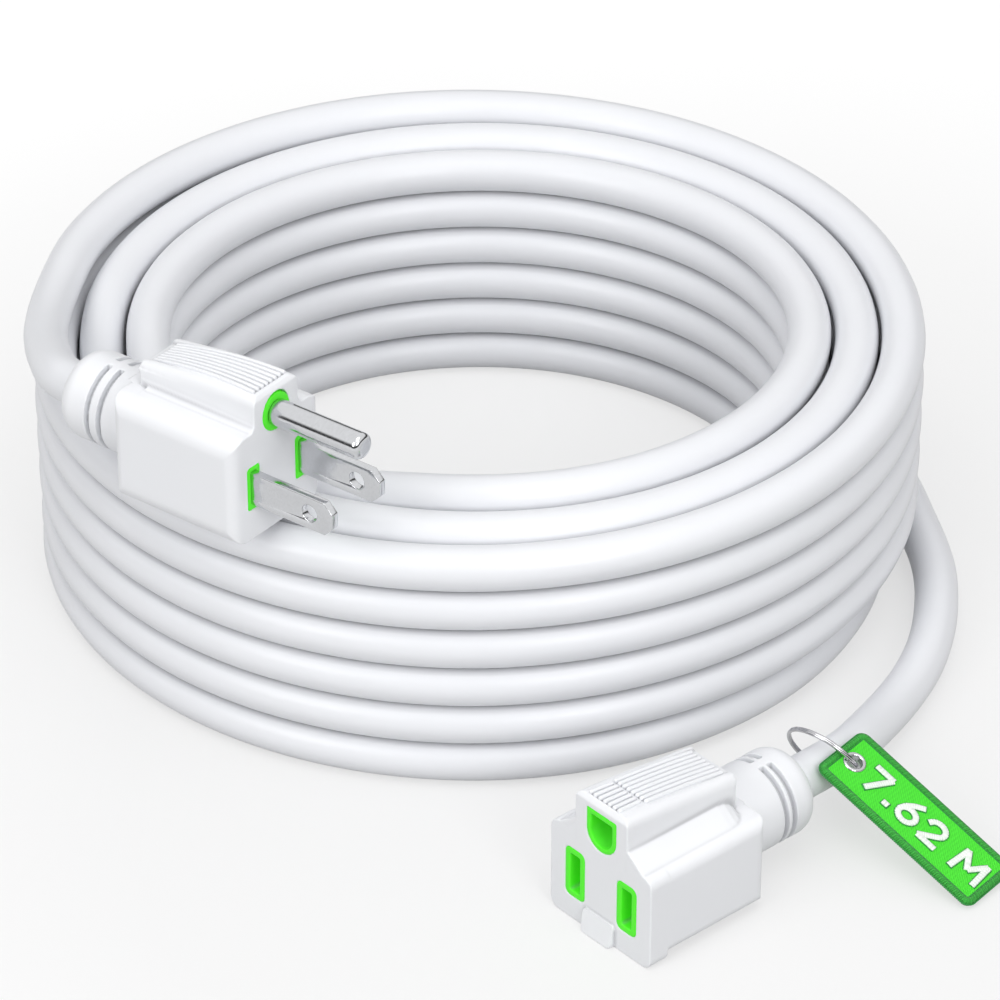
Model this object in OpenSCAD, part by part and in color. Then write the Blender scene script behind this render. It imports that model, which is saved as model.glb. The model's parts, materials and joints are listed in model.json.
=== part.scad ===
// Outdoor extension cord, 16/3 round jacket, coiled, with a three-hole connector and a three-pin plug.
// Frame: origin on the floor under the middle of the connector. +X runs from the connector's
// face towards its strain relief, +Z is up. Lengths are in millimetres, angles in degrees.

/* [Cord] */
// Diameter of the jacket
cord_d = 8; // [7:0.1:9]
// Diameter of one insulated conductor
lead_d = 2.6; // [2.2:0.1:2.8]

/* [Coil] */
// Centreline radius of the outer column of loops
coil_r = 77.5; // [70:0.5:90]
// Gap between neighbouring columns
column_gap = 0.5; // [0.45:0.05:1.5]
// Place of the coil's middle along X
coil_x = 44.4; // [40:0.2:60]
// Place of the coil's middle along Y
coil_y = 106; // [100:0.5:130]
// Direction in which the cord's free end comes in
coil_start = -40.9; // [-45:0.1:-35]

/* [Connector] */
// Width of the moulded housing
conn_w = 24.8; // [24:0.2:30]
// Length of the housing behind its face
conn_l = 26.5; // [25:0.5:32]
// Height of the housing's shoulders
conn_shoulder = 18.5; // [18:0.5:20]
// Height of the raised ridge at the face
conn_ridge = 25.8; // [25.5:0.1:28]
// Height of the ridge at its rear end
conn_ridge_rear = 22.5; // [22:0.1:24]
// How far the ribbed field stands over the ridge
conn_crown = 1.5; // [1.3:0.1:2]
// Width of the ridge
conn_ridge_w = 12.8; // [12:0.2:15]
// Depth of the flange round the face
flange_l = 4.1; // [3:0.1:6]
// Step between the flange and the body's underside
flange_step = 1.3; // [0.6:0.1:2]
// How far the pull lip stands out of the face
lip_out = 1.3; // [0.8:0.1:2]
// Height of the slots above the floor
slot_z = 9.6; // [9:0.1:10.5]

/* [Plug] */
// Width of the plug's housing
plug_w = 23.5; // [23:0.1:28]
// Length of the plug's housing behind its face
plug_l = 27; // [25:0.5:32]
// Depth of the housing below the blades
plug_low = 10.2; // [9.5:0.1:12]
// Height of the shoulders above the blades
plug_shoulder = 10.6; // [9:0.1:11]
// Height of the ridge above the blades at the face
plug_ridge = 15.2; // [15:0.1:17]
// Height of the ridge above the blades at its rear end
plug_ridge_rear = 12.6; // [12.4:0.1:14]
// Width of the ridge
plug_ridge_w = 11.6; // [11:0.2:14]
// How far the ribbed field stands over the ridge
plug_crown = 1.1; // [1:0.1:1.6]
// Turn of the plug about the vertical
plug_turn = 101.7; // [95:0.1:110]
// Place of the plug's face along X
plug_x = -27.8; // [-40:0.1:-20]
// Place of the plug's face along Y
plug_y = 74.7; // [60:0.1:90]

/* [Pins] */
// Distance between the two blades
blade_pitch = 12.7; // [12.6:0.05:12.8]
// Height of the ground pin above the blades
ground_up = 11.9; // [11.8:0.05:12]
// Width of a blade
blade_w = 6.35; // [6:0.05:6.6]
// Thickness of a blade
blade_t = 1.52; // [1.4:0.02:1.7]
// Length of a blade in front of the face
blade_l = 17.5; // [16:0.1:18.5]
// Diameter of the hole near a blade's tip
blade_hole = 3.2; // [2.5:0.1:3.6]
// Diameter of the ground pin
pin_d = 4.75; // [4.7:0.01:4.85]
// Length of the ground pin in front of the face
pin_l = 19; // [18:0.1:21]

/* [Strain reliefs] */
// Radius of both strain reliefs
relief_r = 8; // [7.5:0.1:9]
// Length of both strain reliefs
relief_l = 17; // [15:0.5:22]
// Width of a flex groove
groove_w = 1.1; // [0.8:0.1:1.8]
// Depth of a flex groove
groove_d = 1.3; // [0.6:0.1:1.8]

/* [Tag and ring] */
// Length of the fabric tag
tag_l = 35.3; // [32:0.1:37]
// Width of the fabric tag
tag_w = 12.8; // [12:0.1:15]
// Thickness of the fabric tag
tag_t = 0.8; // [0.6:0.1:1]
// Width of the stitched border
border_w = 1.5; // [1:0.1:2]
// How far the border stands proud on each side
border_up = 0.25; // [0.1:0.05:0.4]
// Radius of the split ring to the middle of its wire
ring_r = 7.1; // [7:0.1:8]
// Diameter of the ring's wire, which winds round twice
wire_d = 0.6; // [0.5:0.05:0.7]
// Radius of the hole in the eyelet
eyelet_r = 1.4; // [1.3:0.05:1.6]

/* [Hidden] */
$fn = 48;

ridge_edge = 1.6;                          // rounding along a ridge
rib_r = 0.5;                               // radius of a rib
rib_pitch = 1.05;
rib_start = 1.6;                           // smooth strip in front of the ribs
short_ribs = 6.4;                          // rear end of the connector's front row
conn_flank = 2;                            // slope between a ridge and its shoulder
plug_flank = 3;
lip_w = 7.5;                               // pull lip under the connector's face
lip_h = 4.5;
conn_grooves = [8.95, 10.8];               // flex grooves behind the housing
plug_grooves = [6.9, 9.6];
web_w = 1.9;                               // web that crosses the grooves on top
conn_axis = 10.8;                          // height of the connector's strain relief
face_x = -(conn_l + relief_l - lip_out) / 2;
plug_axis = 0.2;                           // height of the plug's strain relief over the blades
slot_w = 2.4;                              // slot for a blade
slot_h = 7.6;
rim = 1.2;                                 // green rim round a slot
ground_w = 5.2;                            // ground hole, flat on top
ground_h = 5.6;
core_gap = 1.6;                            // white wall in front of the core
core_end = 19;                             // rear of the core behind the face
core_half = 9.6;                           // half width of the core
core_low = 2.6;                            // underside of the connector's core
core_top = 16.4;                           // shoulder of the connector's core
cavity_start = 5.5;                        // contact chamber behind the face
cavity_end = core_end - 1.2;
leaf_t = 0.5;                              // thickness of a contact leaf
barrel_r = pin_d / 2 + 0.45;               // outside of the ground contact
spread = 1.75;                             // how far the leads lie from the axis in the strain relief
bend_at = 20;                              // where the leads start to draw together
meet_at = 31;                              // where they run side by side
blade_y = blade_pitch / 2;

// ---- shapes that several pieces share ----

module rounded_plate(x0, x1, y0, y1, r, h) {
    linear_extrude(h) {
        translate([x0 + r, y0]) square([x1 - x0 - 2 * r, y1 - y0]);
        translate([x0, y0 + r]) square([x1 - x0, y1 - y0 - 2 * r]);
        for (x = [x0 + r, x1 - r], y = [y0 + r, y1 - r]) translate([x, y]) circle(r);
    }
}

// A bar along X with a rounded outline in Y and Z
module rounded_bar(x0, x1, y0, y1, z0, z1, r) {
    translate([x0, 0, 0]) rotate([90, 0, 90]) rounded_plate(y0, y1, z0, z1, r, x1 - x0);
}

// The same bar with the corners round from above as well
module soft_bar(x0, x1, y0, y1, z0, z1, r, plan_r) {
    intersection() {
        rounded_bar(x0, x1, y0, y1, z0, z1, r);
        translate([0, 0, z0 - 1]) rounded_plate(x0, x1, y0, y1, plan_r, z1 - z0 + 2);
    }
}

// A profile in X and Z, carried across Y about the middle
module side_profile(points, w) {
    translate([0, w / 2, 0]) rotate([90, 0, 0]) linear_extrude(w) polygon(points);
}

// The ridge on top of a housing: a round-edged bar that falls towards the rear, on sloping flanks.
// Its top stands the crown's height over the front and rear heights given.
function fall_angle(l, front, rear) = atan((front - rear) / (l - 5));
module ridge(l, w, low, shoulder, front, rear, crown, flank) {
    fall = fall_angle(l, front, rear);
    top = front + crown;
    intersection() {
        side_profile([[0, low], [0, top - crown * 0.6], [1.6, top + 1], [l - 4.4, top + 1],
            [l - 3.6, rear - 0.4], [l - 0.6, low]], w + 4);
        translate([0, 0, top]) rotate([0, fall, 0])
            rounded_bar(-3, l + 4, -w / 2, w / 2, low - top, 0, ridge_edge);
    }
    rotate([90, 0, 90]) linear_extrude(l - 3.6) polygon([[-w / 2 - flank, low],
        [-w / 2 - flank, shoulder - 0.1], [-w / 2, shoulder + flank * 0.8], [w / 2, shoulder + flank * 0.8],
        [w / 2 + flank, shoulder - 0.1], [w / 2 + flank, low]]);
}

// Half-round ribs that run along the ridge and follow its fall. The pitch may narrow to the rear.
module ribs(x0, x1, count, pitch, rear_pitch, front, rear, crown, l) {
    fall = fall_angle(l, front, rear);
    long = (x1 - x0) / cos(fall);
    for (i = [0 : count - 1]) {
        place = i - (count - 1) / 2;
        translate([x0, place * pitch, front + crown - x0 * tan(fall)])
            rotate([0, 0, atan(place * (rear_pitch - pitch) / (x1 - x0))]) rotate([0, 90 + fall, 0])
            cylinder(h = long, r = rib_r, $fn = 16);
    }
}

// A strain relief along X from 0, with two flex grooves that a web on top interrupts
module strain_relief_shape(grooves) {
    dome = 3.5;
    difference() {
        rotate([90, 0, 90]) rotate_extrude($fn = 64) {
            square([relief_r, relief_l - dome]);
            square([relief_r - dome, relief_l]);
            translate([relief_r - dome, relief_l - dome]) circle(dome);
        }
        for (x = grooves) translate([x - groove_w / 2, 0, 0]) difference() {
            rotate([0, 90, 0]) cylinder(h = groove_w, r = relief_r + 1, $fn = 64);
            rotate([0, 90, 0]) cylinder(h = groove_w, r = relief_r - groove_d, $fn = 64);
            translate([-1, -web_w / 2, 0]) cube([groove_w + 2, web_w, relief_r + 2]);
        }
    }
}

// Where each lead runs: from its contact, drawn in, and side by side to the cord
function lead_points(from, y, z, axis_z, dy, dz, end) =
    [[from, y, z], [bend_at, y, z], [meet_at, dy, axis_z + dz], [end, dy, axis_z + dz]];

// A tube swept along points, with upright rings. Each ring has the given number of sides.
function unit(v) = v / norm(v);
function flat_dir(p, i) = unit([p[min(i + 1, len(p) - 1)][0] - p[max(i - 1, 0)][0],
    p[min(i + 1, len(p) - 1)][1] - p[max(i - 1, 0)][1], 0]);
function ring_at(p, i, r, sides, turn) = let (t = flat_dir(p, i), side = [t[1], -t[0], 0])
    [for (k = [0 : sides - 1]) let (a = turn + 360 * k / sides)
        p[i] + r * cos(a) * side + r * sin(a) * [0, 0, 1]];

module tube(p, radii, sides, turn) {
    n = len(p);
    points = [for (i = [0 : n - 1]) each ring_at(p, i, radii[i], sides, turn)];
    walls = [for (i = [0 : n - 2], k = [0 : sides - 1]) let (a = i * sides + k,
        b = i * sides + (k + 1) % sides) each [[a, b, a + sides], [b, b + sides, a + sides]]];
    first = [for (k = [1 : sides - 2]) [0, k + 1, k]];
    last = [for (k = [1 : sides - 2]) let (e = (n - 1) * sides) [e, e + k, e + k + 1]];
    polyhedron(points = points, faces = concat(walls, first, last), convexity = 20);
}

module lead(points) {
    tube(points, [for (p = points) lead_d / 2], 8, 22.5);
}

// ---- the coil's route ----
// The cord comes in on the floor, goes once round in the outer column, moves to the middle column
// and on to the inner one, climbs there to the top, comes down in the middle column and climbs
// again in the outer one. Heights are in cord diameters, and turns are counted in degrees.

column = cord_d + column_gap;
outer_r = coil_r;
middle_r = coil_r - column;
inner_r = coil_r - 2 * column;
low = cos(30) / 2;                         // centre of a six-sided tube that lies on its flat
function ease(t) = let (u = min(1, max(0, t))) u * u * (3 - 2 * u);
function inner_z(level, a) = low + level * (1.048 - 0.039 * sin(a));
climb_step = 1.0175;                       // drop of one loop in the middle column
middle_top = 5.62;
in_start = 582;                            // turns where the cord leaves one column for the next
inner_end = 2706;
middle_end = 4442;
outer_start = 4508;
coil_end = 6285;

function outer_in_r(a) = outer_r + column * lookup(a, [[0, 0.4], [15, 0.13], [30, 0], [285, 0],
    [315, -0.15], [330, -0.3], [345, -0.5], [360, -0.7], [375, -0.92], [390, -1]]);
function outer_in_z(a) = low + lookup(a, [[270, 0], [315, 0.12], [330, 0.18], [360, 0.16],
    [390, 0.03], [405, 0]]);
function inner_level(a) = let (n = floor((a - 567) / 360)) n < 1 ? 0 :
    min(5, n - 1 + ease((a - 567 - 360 * n) / 55));
function middle_z(a) = middle_top - climb_step * (ease((a - 3052) / 33) + ease((a - 3412) / 33)
    + ease((a - 3772) / 33) + ease((a - 4132) / 33));
function outer_z(a) = let (b = a - 4530 + 210, k = 2 + floor((b - 210) / 360),
    c = b - 360 * (k - 2), west = 0.993 * (k - 1) + 0.79 + 0.03 * (6 - k))
    low + lookup(c, [[210, 0.982 * (k - 1)], [270, 1.005 * (k - 1)], [525, west - 0.03],
    [540, west], [570, 0.982 * k]]);

function route(a) =
    a <= in_start ? [outer_in_r(a), outer_in_z(a)] :
    a <= in_start + 63 ? [middle_r - column * ease((a - in_start) / 63), low] :
    a <= inner_end ? [inner_r, inner_z(inner_level(a), a)] :
    a <= inner_end + 50 ? let (t = ease((a - inner_end) / 50))
        [inner_r + column * t, inner_z(5, a) * (1 - t) + middle_top * t] :
    a <= middle_end ? [middle_r, middle_z(a)] :
    a <= outer_start ? let (t = ease((a - middle_end) / (outer_start - middle_end)))
        [middle_r + column * t, lookup(a, [[middle_end, middle_z(middle_end)], [4458, 1.45],
        [4475, 1.37], [outer_start, 1.365]])] :
    [outer_r, a < 4530 ? lookup(a, [[outer_start, 1.365], [4530, low + 0.982]]) : outer_z(a)];

function coil_point(a) = let (p = route(a)) [coil_x + p[0] * cos(a + coil_start),
    coil_y + p[0] * sin(a + coil_start), p[1] * cord_d];
step = 15;
coil_first = coil_point(0);
coil_last = coil_point(coil_end);
way_in = unit([coil_point(step)[0] - coil_first[0], coil_point(step)[1] - coil_first[1], 0]);
way_out = unit([coil_last[0] - coil_point(coil_end - step)[0],
    coil_last[1] - coil_point(coil_end - step)[1], 0]);
coil_in = coil_first - cord_d * way_in;
coil_out = coil_last + cord_d * way_out;
coil_points = concat([coil_in], [for (a = [0 : step : coil_end]) coil_point(a)], [coil_out]);

// Least gap between loops: outlines in the same half plane, six points on each side of the six
outline = [for (k = [0 : 5], s = [0 : 5]) let (p = [cos(60 * k), sin(60 * k)],
    q = [cos(60 * k + 60), sin(60 * k + 60)]) (p + (q - p) * s / 6) * cord_d / 2];
function section(a) = let (p = route(a)) [p[0], p[1] * cord_d];
function pair_gap(p, q) = min([for (u = outline, v = outline) norm(p + u - q - v)]);
function least_gap() = min([for (a = [0 : step : coil_end - 360], b = [a + 360 : 360 : coil_end])
    let (p = section(a), q = section(b)) if (norm(p - q) < 1.2 * cord_d) pair_gap(p, q)]);

// ---- the free stretches ----
conn_end = face_x + conn_l + relief_l;
free_route = [[conn_end, 0, conn_axis], [30.4, 0, 10.8], [37, 1, 10], [45, 4.8, 7.6],
    [54, 8.8, 5.4], [63, 12.6, 4.2], [73, 17.5, 4], [83, 24.6, 4], [91.5, 32.6, 4],
    [96.9, 38.8, 3.8], coil_in - 3 * way_in, coil_in];
plug_z = middle_top * cord_d + cord_d / 2 + plug_low + 0.24;   // the plug rests on the middle column
plug_end = [plug_x + (plug_l + relief_l - 0.5) * cos(plug_turn),
    plug_y + (plug_l + relief_l - 0.5) * sin(plug_turn), plug_z + plug_axis];
plug_route = [coil_out, coil_out + 2.5 * way_out, [-12, 159.1, 49.9], [-17.6, 153.5, 50.6], [-22.9, 147.4, 51.7],
    [-27.4, 140.8, 53.3], [-31.4, 133.9, 55.3], [-35.1, 127.2, 57.5], [-36.8, 122.8, 58.8],
    plug_end + [2 * cos(plug_turn), 2 * sin(plug_turn), -0.1], plug_end];

// ---- connector ----
module slot_outline(y, grow, depth, from) {
    rounded_bar(from, from + depth, y - slot_w / 2 - grow, y + slot_w / 2 + grow,
        slot_z - slot_h / 2 - grow, slot_z + slot_h / 2 + grow, 0.3 + grow * 0.75);
}

// Ground hole: round below, flat on top
module ground_outline(grow, depth, from) {
    z = slot_z + ground_up;
    r = ground_w / 2 + grow;
    top = ground_h / 2 + grow;
    translate([from, 0, z - ground_h / 2 + ground_w / 2]) rotate([90, 0, 90]) linear_extrude(depth) {
        circle(r);
        translate([-r, 0]) square([2 * r, top + ground_h / 2 - ground_w / 2]);
    }
}

module connector_core_body() {
    slot_outline(-blade_y, rim, core_gap, 0);
    slot_outline(blade_y, rim, core_gap, 0);
    ground_outline(rim - 0.2, core_gap, 0);
    soft_bar(core_gap, core_end, -core_half, core_half, core_low, core_top, 2, 0.6);
    rounded_bar(core_gap, cavity_end - 2, -4, 4, core_top - 4, slot_z + ground_up + 3, 1.2);
}

module chamber(y, z, h) {
    translate([cavity_start, y - 2.2, z - h / 2]) cube([cavity_end - cavity_start, 4.4, h]);
}

module connector_lead_path(i) {
    ys = [blade_y, -blade_y, 0];
    zs = [slot_z, slot_z, slot_z + ground_up];
    dys = [spread * 0.87, -spread * 0.87, 0];
    dzs = [-spread / 2, -spread / 2, spread];
    lead(lead_points(cavity_end - 3, ys[i], zs[i], conn_axis, dys[i], dzs[i], conn_l + relief_l));
}

module connector_core_shape() {
    difference() {
        connector_core_body();
        for (y = [-blade_y, blade_y]) {
            slot_outline(y, 0, cavity_start + 1, -0.5);
            chamber(y, slot_z, slot_h);
        }
        ground_outline(0, cavity_start + 1, -0.5);
        translate([cavity_start, 0, slot_z + ground_up]) rotate([0, 90, 0])
            cylinder(h = cavity_end - 3 - cavity_start, r = barrel_r);
        for (i = [0 : 2]) connector_lead_path(i);
    }
}

module connector_shell() {
    difference() {
        union() {
            soft_bar(0, conn_l, -conn_w / 2, conn_w / 2, flange_step, conn_shoulder, 2.2, 2.2);
            rounded_bar(0, flange_l, -conn_w / 2, conn_w / 2, 0, conn_shoulder, 2);
            ridge(conn_l, conn_ridge_w, conn_shoulder - 5, conn_shoulder, conn_ridge, conn_ridge_rear,
                conn_crown, conn_flank);
            // a short row of ribs at the face, and a long one behind it, half a pitch aside
            ribs(rib_start, short_ribs - 0.2, 7, rib_pitch, rib_pitch, conn_ridge, conn_ridge_rear,
                conn_crown, conn_l);
            ribs(short_ribs + 0.2, conn_l - 4.6, 8, rib_pitch, rib_pitch, conn_ridge, conn_ridge_rear,
                conn_crown, conn_l);
            soft_bar(-lip_out, 2, -lip_w / 2, lip_w / 2, 0, lip_h, 0.8, 0.8);
        }
        connector_core_body();
        for (i = [0 : 2]) connector_lead_path(i);
    }
}

module connector_housing() {
    color("whitesmoke") translate([face_x, 0, 0]) connector_shell();
}

module connector_strain_relief() {
    color("whitesmoke") translate([face_x, 0, 0]) difference() {
        translate([conn_l, 0, conn_axis]) strain_relief_shape(conn_grooves);
        for (i = [0 : 2]) connector_lead_path(i);
    }
}

module connector_core() {
    color("limegreen") translate([face_x, 0, 0]) connector_core_shape();
}

// One leaf of a blade contact, seen from above: narrow throat, flared mouth
leaf = [[0, 1.7], [6, 1.35], [9, 0.8], [10.5, 0.85], [11.6, 1.7], [11.6, 2.2], [11.2, 2.2],
    [10.3, 1.35], [9, 1.3], [6, 1.85], [0, 2.2]];

module blade_contact() {
    h = slot_h - 1.4;
    back = cavity_end - 3;
    difference() {
        union() {
            for (s = [0, 1]) mirror([0, s, 0]) translate([back, 0, slot_z - h / 2])
                linear_extrude(h) polygon([for (p = leaf) [-p[0] * 0.78, p[1]]]);
            translate([back - leaf_t, -2.2, slot_z - h / 2]) cube([leaf_t * 2, 4.4, h]);
        }
        translate([back, 0, slot_z]) rotate([0, 90, 0]) cylinder(h = 5, d = lead_d, $fn = 24);
    }
}

module connector_line_contact() {
    color("goldenrod") translate([face_x, blade_y, 0]) blade_contact();
}

module connector_neutral_contact() {
    color("goldenrod") translate([face_x, -blade_y, 0]) blade_contact();
}

// Ground contact: a slit barrel that grips the round pin
module connector_ground_contact() {
    z = slot_z + ground_up;
    l = cavity_end - 3 - cavity_start - 0.3;
    color("goldenrod") translate([face_x + cavity_start + 0.3, 0, z]) rotate([0, 90, 0]) difference() {
        cylinder(h = l, r = barrel_r);
        translate([0, 0, -1]) cylinder(h = l - 0.6 + 1, r = pin_d / 2 + 0.05);
        translate([-4, -0.4, -1]) cube([8, 0.8, l - 2]);
    }
}

module connector_line_lead() {
    color("black") translate([face_x, 0, 0]) connector_lead_path(0);
}

module connector_neutral_lead() {
    color("white") translate([face_x, 0, 0]) connector_lead_path(1);
}

module connector_ground_lead() {
    color("green") translate([face_x, 0, 0]) connector_lead_path(2);
}

// ---- cord ----
module cord_free_end() {
    n = len(free_route);
    end_r = cord_d / 2 * cos(30) / cos(22.5);
    color("white") tube(free_route, [for (i = [0 : n - 1]) i == n - 1 ? end_r : cord_d / 2], 8, 22.5);
}

module cord_coil() {
    echo(least_gap_between_loops_mm = least_gap());
    color("white") tube(coil_points, [for (p = coil_points) cord_d / 2], 6, 0);
}

module cord_plug_end() {
    n = len(plug_route);
    color("white") tube(plug_route, [for (i = [0 : n - 1]) cord_d / 2], 8, 22.5);
}

// ---- plug, drawn with its face at x = 0 and its blades pointing to -X ----
module place_plug() {
    translate([plug_x, plug_y, plug_z]) rotate([0, 0, plug_turn]) children();
}

plug_core_l = 19;
plug_core_half = 9.4;

module plug_lead_path(i) {
    ys = [-blade_y, blade_y, 0];
    zs = [0, 0, ground_up];
    dys = [-spread * 0.87, spread * 0.87, 0];
    dzs = [-spread / 2, -spread / 2, spread];
    lead(lead_points(i == 2 ? 10 : 12, ys[i], zs[i], plug_axis, dys[i], dzs[i],
        plug_l + relief_l - 0.5));
}

module plug_core_body() {
    for (y = [-blade_y, blade_y])
        rounded_bar(0, 1.5, y - 1.6, y + 1.6, -4.3, 4.1, 0.5);
    translate([0, 0, ground_up]) rotate([0, 90, 0]) cylinder(h = 1.5, r = 3.5);
    soft_bar(1.4, plug_core_l, -plug_core_half, plug_core_half, -7.8, 7.6, 2, 0.6);
    rounded_bar(1.4, 10, -3.8, 3.8, 4, ground_up + 2.8, 1);
}

module blade_shape(y) {
    chamfer = 1.8;
    difference() {
        translate([0, y + blade_t / 2, 0]) rotate([90, 0, 0]) linear_extrude(blade_t)
            polygon([[12, -blade_w / 2], [12, blade_w / 2], [-blade_l + chamfer, blade_w / 2],
            [-blade_l, blade_w / 2 - chamfer], [-blade_l, chamfer - blade_w / 2],
            [-blade_l + chamfer, -blade_w / 2]]);
        translate([-blade_l + 5, y + 2, 0]) rotate([90, 0, 0]) cylinder(h = 4, d = blade_hole);
    }
}

pin_tip = 1.1;                             // rounding at the pin's end
module pin_shape() {
    translate([10, 0, ground_up]) rotate([0, -90, 0]) {
        cylinder(h = 10.5, d = pin_d - 0.5);       // shank, which ends just in front of the face
        translate([0, 0, 10.3]) rotate_extrude() translate([0, -10.3]) {
            translate([0, 10.3]) square([pin_d / 2, pin_l - pin_tip - 0.3]);
            translate([0, 10.3]) square([pin_d / 2 - pin_tip, pin_l - 0.3]);
            translate([pin_d / 2 - pin_tip, 10 + pin_l - pin_tip]) circle(pin_tip);
        }
    }
}

module plug_housing() {
    color("whitesmoke") place_plug() difference() {
        union() {
            soft_bar(0, plug_l, -plug_w / 2, plug_w / 2, -plug_low, plug_shoulder, 3.6, 2.2);
            ridge(plug_l, plug_ridge_w, plug_shoulder - 5, plug_shoulder, plug_ridge, plug_ridge_rear,
                plug_crown, plug_flank);
            ribs(rib_start, plug_l - 4.6, 8, rib_pitch, rib_pitch * 0.8, plug_ridge, plug_ridge_rear,
                plug_crown, plug_l);
        }
        plug_core_body();
        for (i = [0 : 2]) plug_lead_path(i);
    }
}

module plug_strain_relief() {
    color("whitesmoke") place_plug() difference() {
        translate([plug_l - 0.5, 0, plug_axis]) strain_relief_shape(plug_grooves);
        translate([plug_l - 1, -20, -20]) cube([1, 40, 40]);
        for (i = [0 : 2]) plug_lead_path(i);
    }
}

module plug_core() {
    color("limegreen") place_plug() difference() {
        plug_core_body();
        for (y = [-blade_y, blade_y]) blade_shape(y);
        pin_shape();
        for (i = [0 : 2]) plug_lead_path(i);
    }
}

module plug_line_blade() {
    color("silver") place_plug() blade_shape(-blade_y);
}

module plug_neutral_blade() {
    color("silver") place_plug() blade_shape(blade_y);
}

module plug_ground_pin() {
    color("silver") place_plug() pin_shape();
}

module plug_line_lead() {
    color("black") place_plug() plug_lead_path(0);
}

module plug_neutral_lead() {
    color("white") place_plug() plug_lead_path(1);
}

module plug_ground_lead() {
    color("green") place_plug() plug_lead_path(2);
}

// ---- split ring and fabric tag ----
ring_lean = 28;                            // lean of the ring's axis from the cord
ring_turn = 10;
eyelet_at = [31.9, -5.9, 13.7];
tag_turn = -80.7;
tag_slope = 23.4;
ring_axis = [cos(ring_lean) * cos(ring_turn), cos(ring_lean) * sin(ring_turn), sin(ring_lean)];
to_eyelet = [-0.1, -6.8, 1.5];             // rough way from the ring's middle to the eyelet
ring_centre = eyelet_at - ring_r * unit(to_eyelet - (to_eyelet * ring_axis) * ring_axis);
tag_roll = 4;
eyelet_in = 4.7;                           // eyelet from the near edge
eyelet_flange = 1;

module place_tag() {
    translate(eyelet_at) rotate([0, 0, tag_turn]) rotate([0, tag_slope, 0]) rotate([tag_roll, 0, 0])
        children();
}

module split_ring() {
    color("silver") translate(ring_centre) rotate([0, 0, ring_turn]) rotate([0, 90 - ring_lean, 0])
        difference() {
            rotate_extrude($fn = 96) for (s = [-1, 1]) translate([ring_r, s * wire_d * 0.45])
                circle(d = wire_d, $fn = 24);
            for (s = [0, 1]) rotate([0, 0, 60 + s * 25]) translate([ring_r - 2, 0, s ? 0.02 : -1.02])
                cube([4, 0.3, 1]);
        }
}

module tag_outline(inset, h) {
    translate([0, 0, -h / 2]) rounded_plate(-eyelet_in + inset, tag_l - eyelet_in - inset,
        -tag_w / 2 + inset, tag_w / 2 - inset, 2 - inset * 0.6, h);
}

module tag_body() {
    color("lime") place_tag() difference() {
        tag_outline(border_w, tag_t);
        translate([0, 0, -2]) cylinder(h = 4, r = eyelet_r + 0.3);
    }
}

module tag_border() {
    color("seagreen") place_tag() difference() {
        tag_outline(0, tag_t + 2 * border_up);
        tag_outline(border_w, tag_t + 2);
    }
}

module eyelet() {
    wall = 0.3;
    lip = 0.2;
    top = tag_t / 2 + lip;
    out = eyelet_r + eyelet_flange;
    color("silver") place_tag() rotate_extrude() polygon([[eyelet_r, -top], [out, -top],
        [out, lip - top], [eyelet_r + wall, lip - top], [eyelet_r + wall, top - lip],
        [out, top - lip], [out, top], [eyelet_r, top]]);
}

connector_housing();
connector_strain_relief();
connector_core();
connector_line_contact();
connector_neutral_contact();
connector_ground_contact();
connector_line_lead();
connector_neutral_lead();
connector_ground_lead();
cord_free_end();
cord_coil();
cord_plug_end();
plug_housing();
plug_strain_relief();
plug_core();
plug_line_blade();
plug_neutral_blade();
plug_ground_pin();
plug_line_lead();
plug_neutral_lead();
plug_ground_lead();
split_ring();
tag_body();
tag_border();
eyelet();
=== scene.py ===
import json
import math

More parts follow.
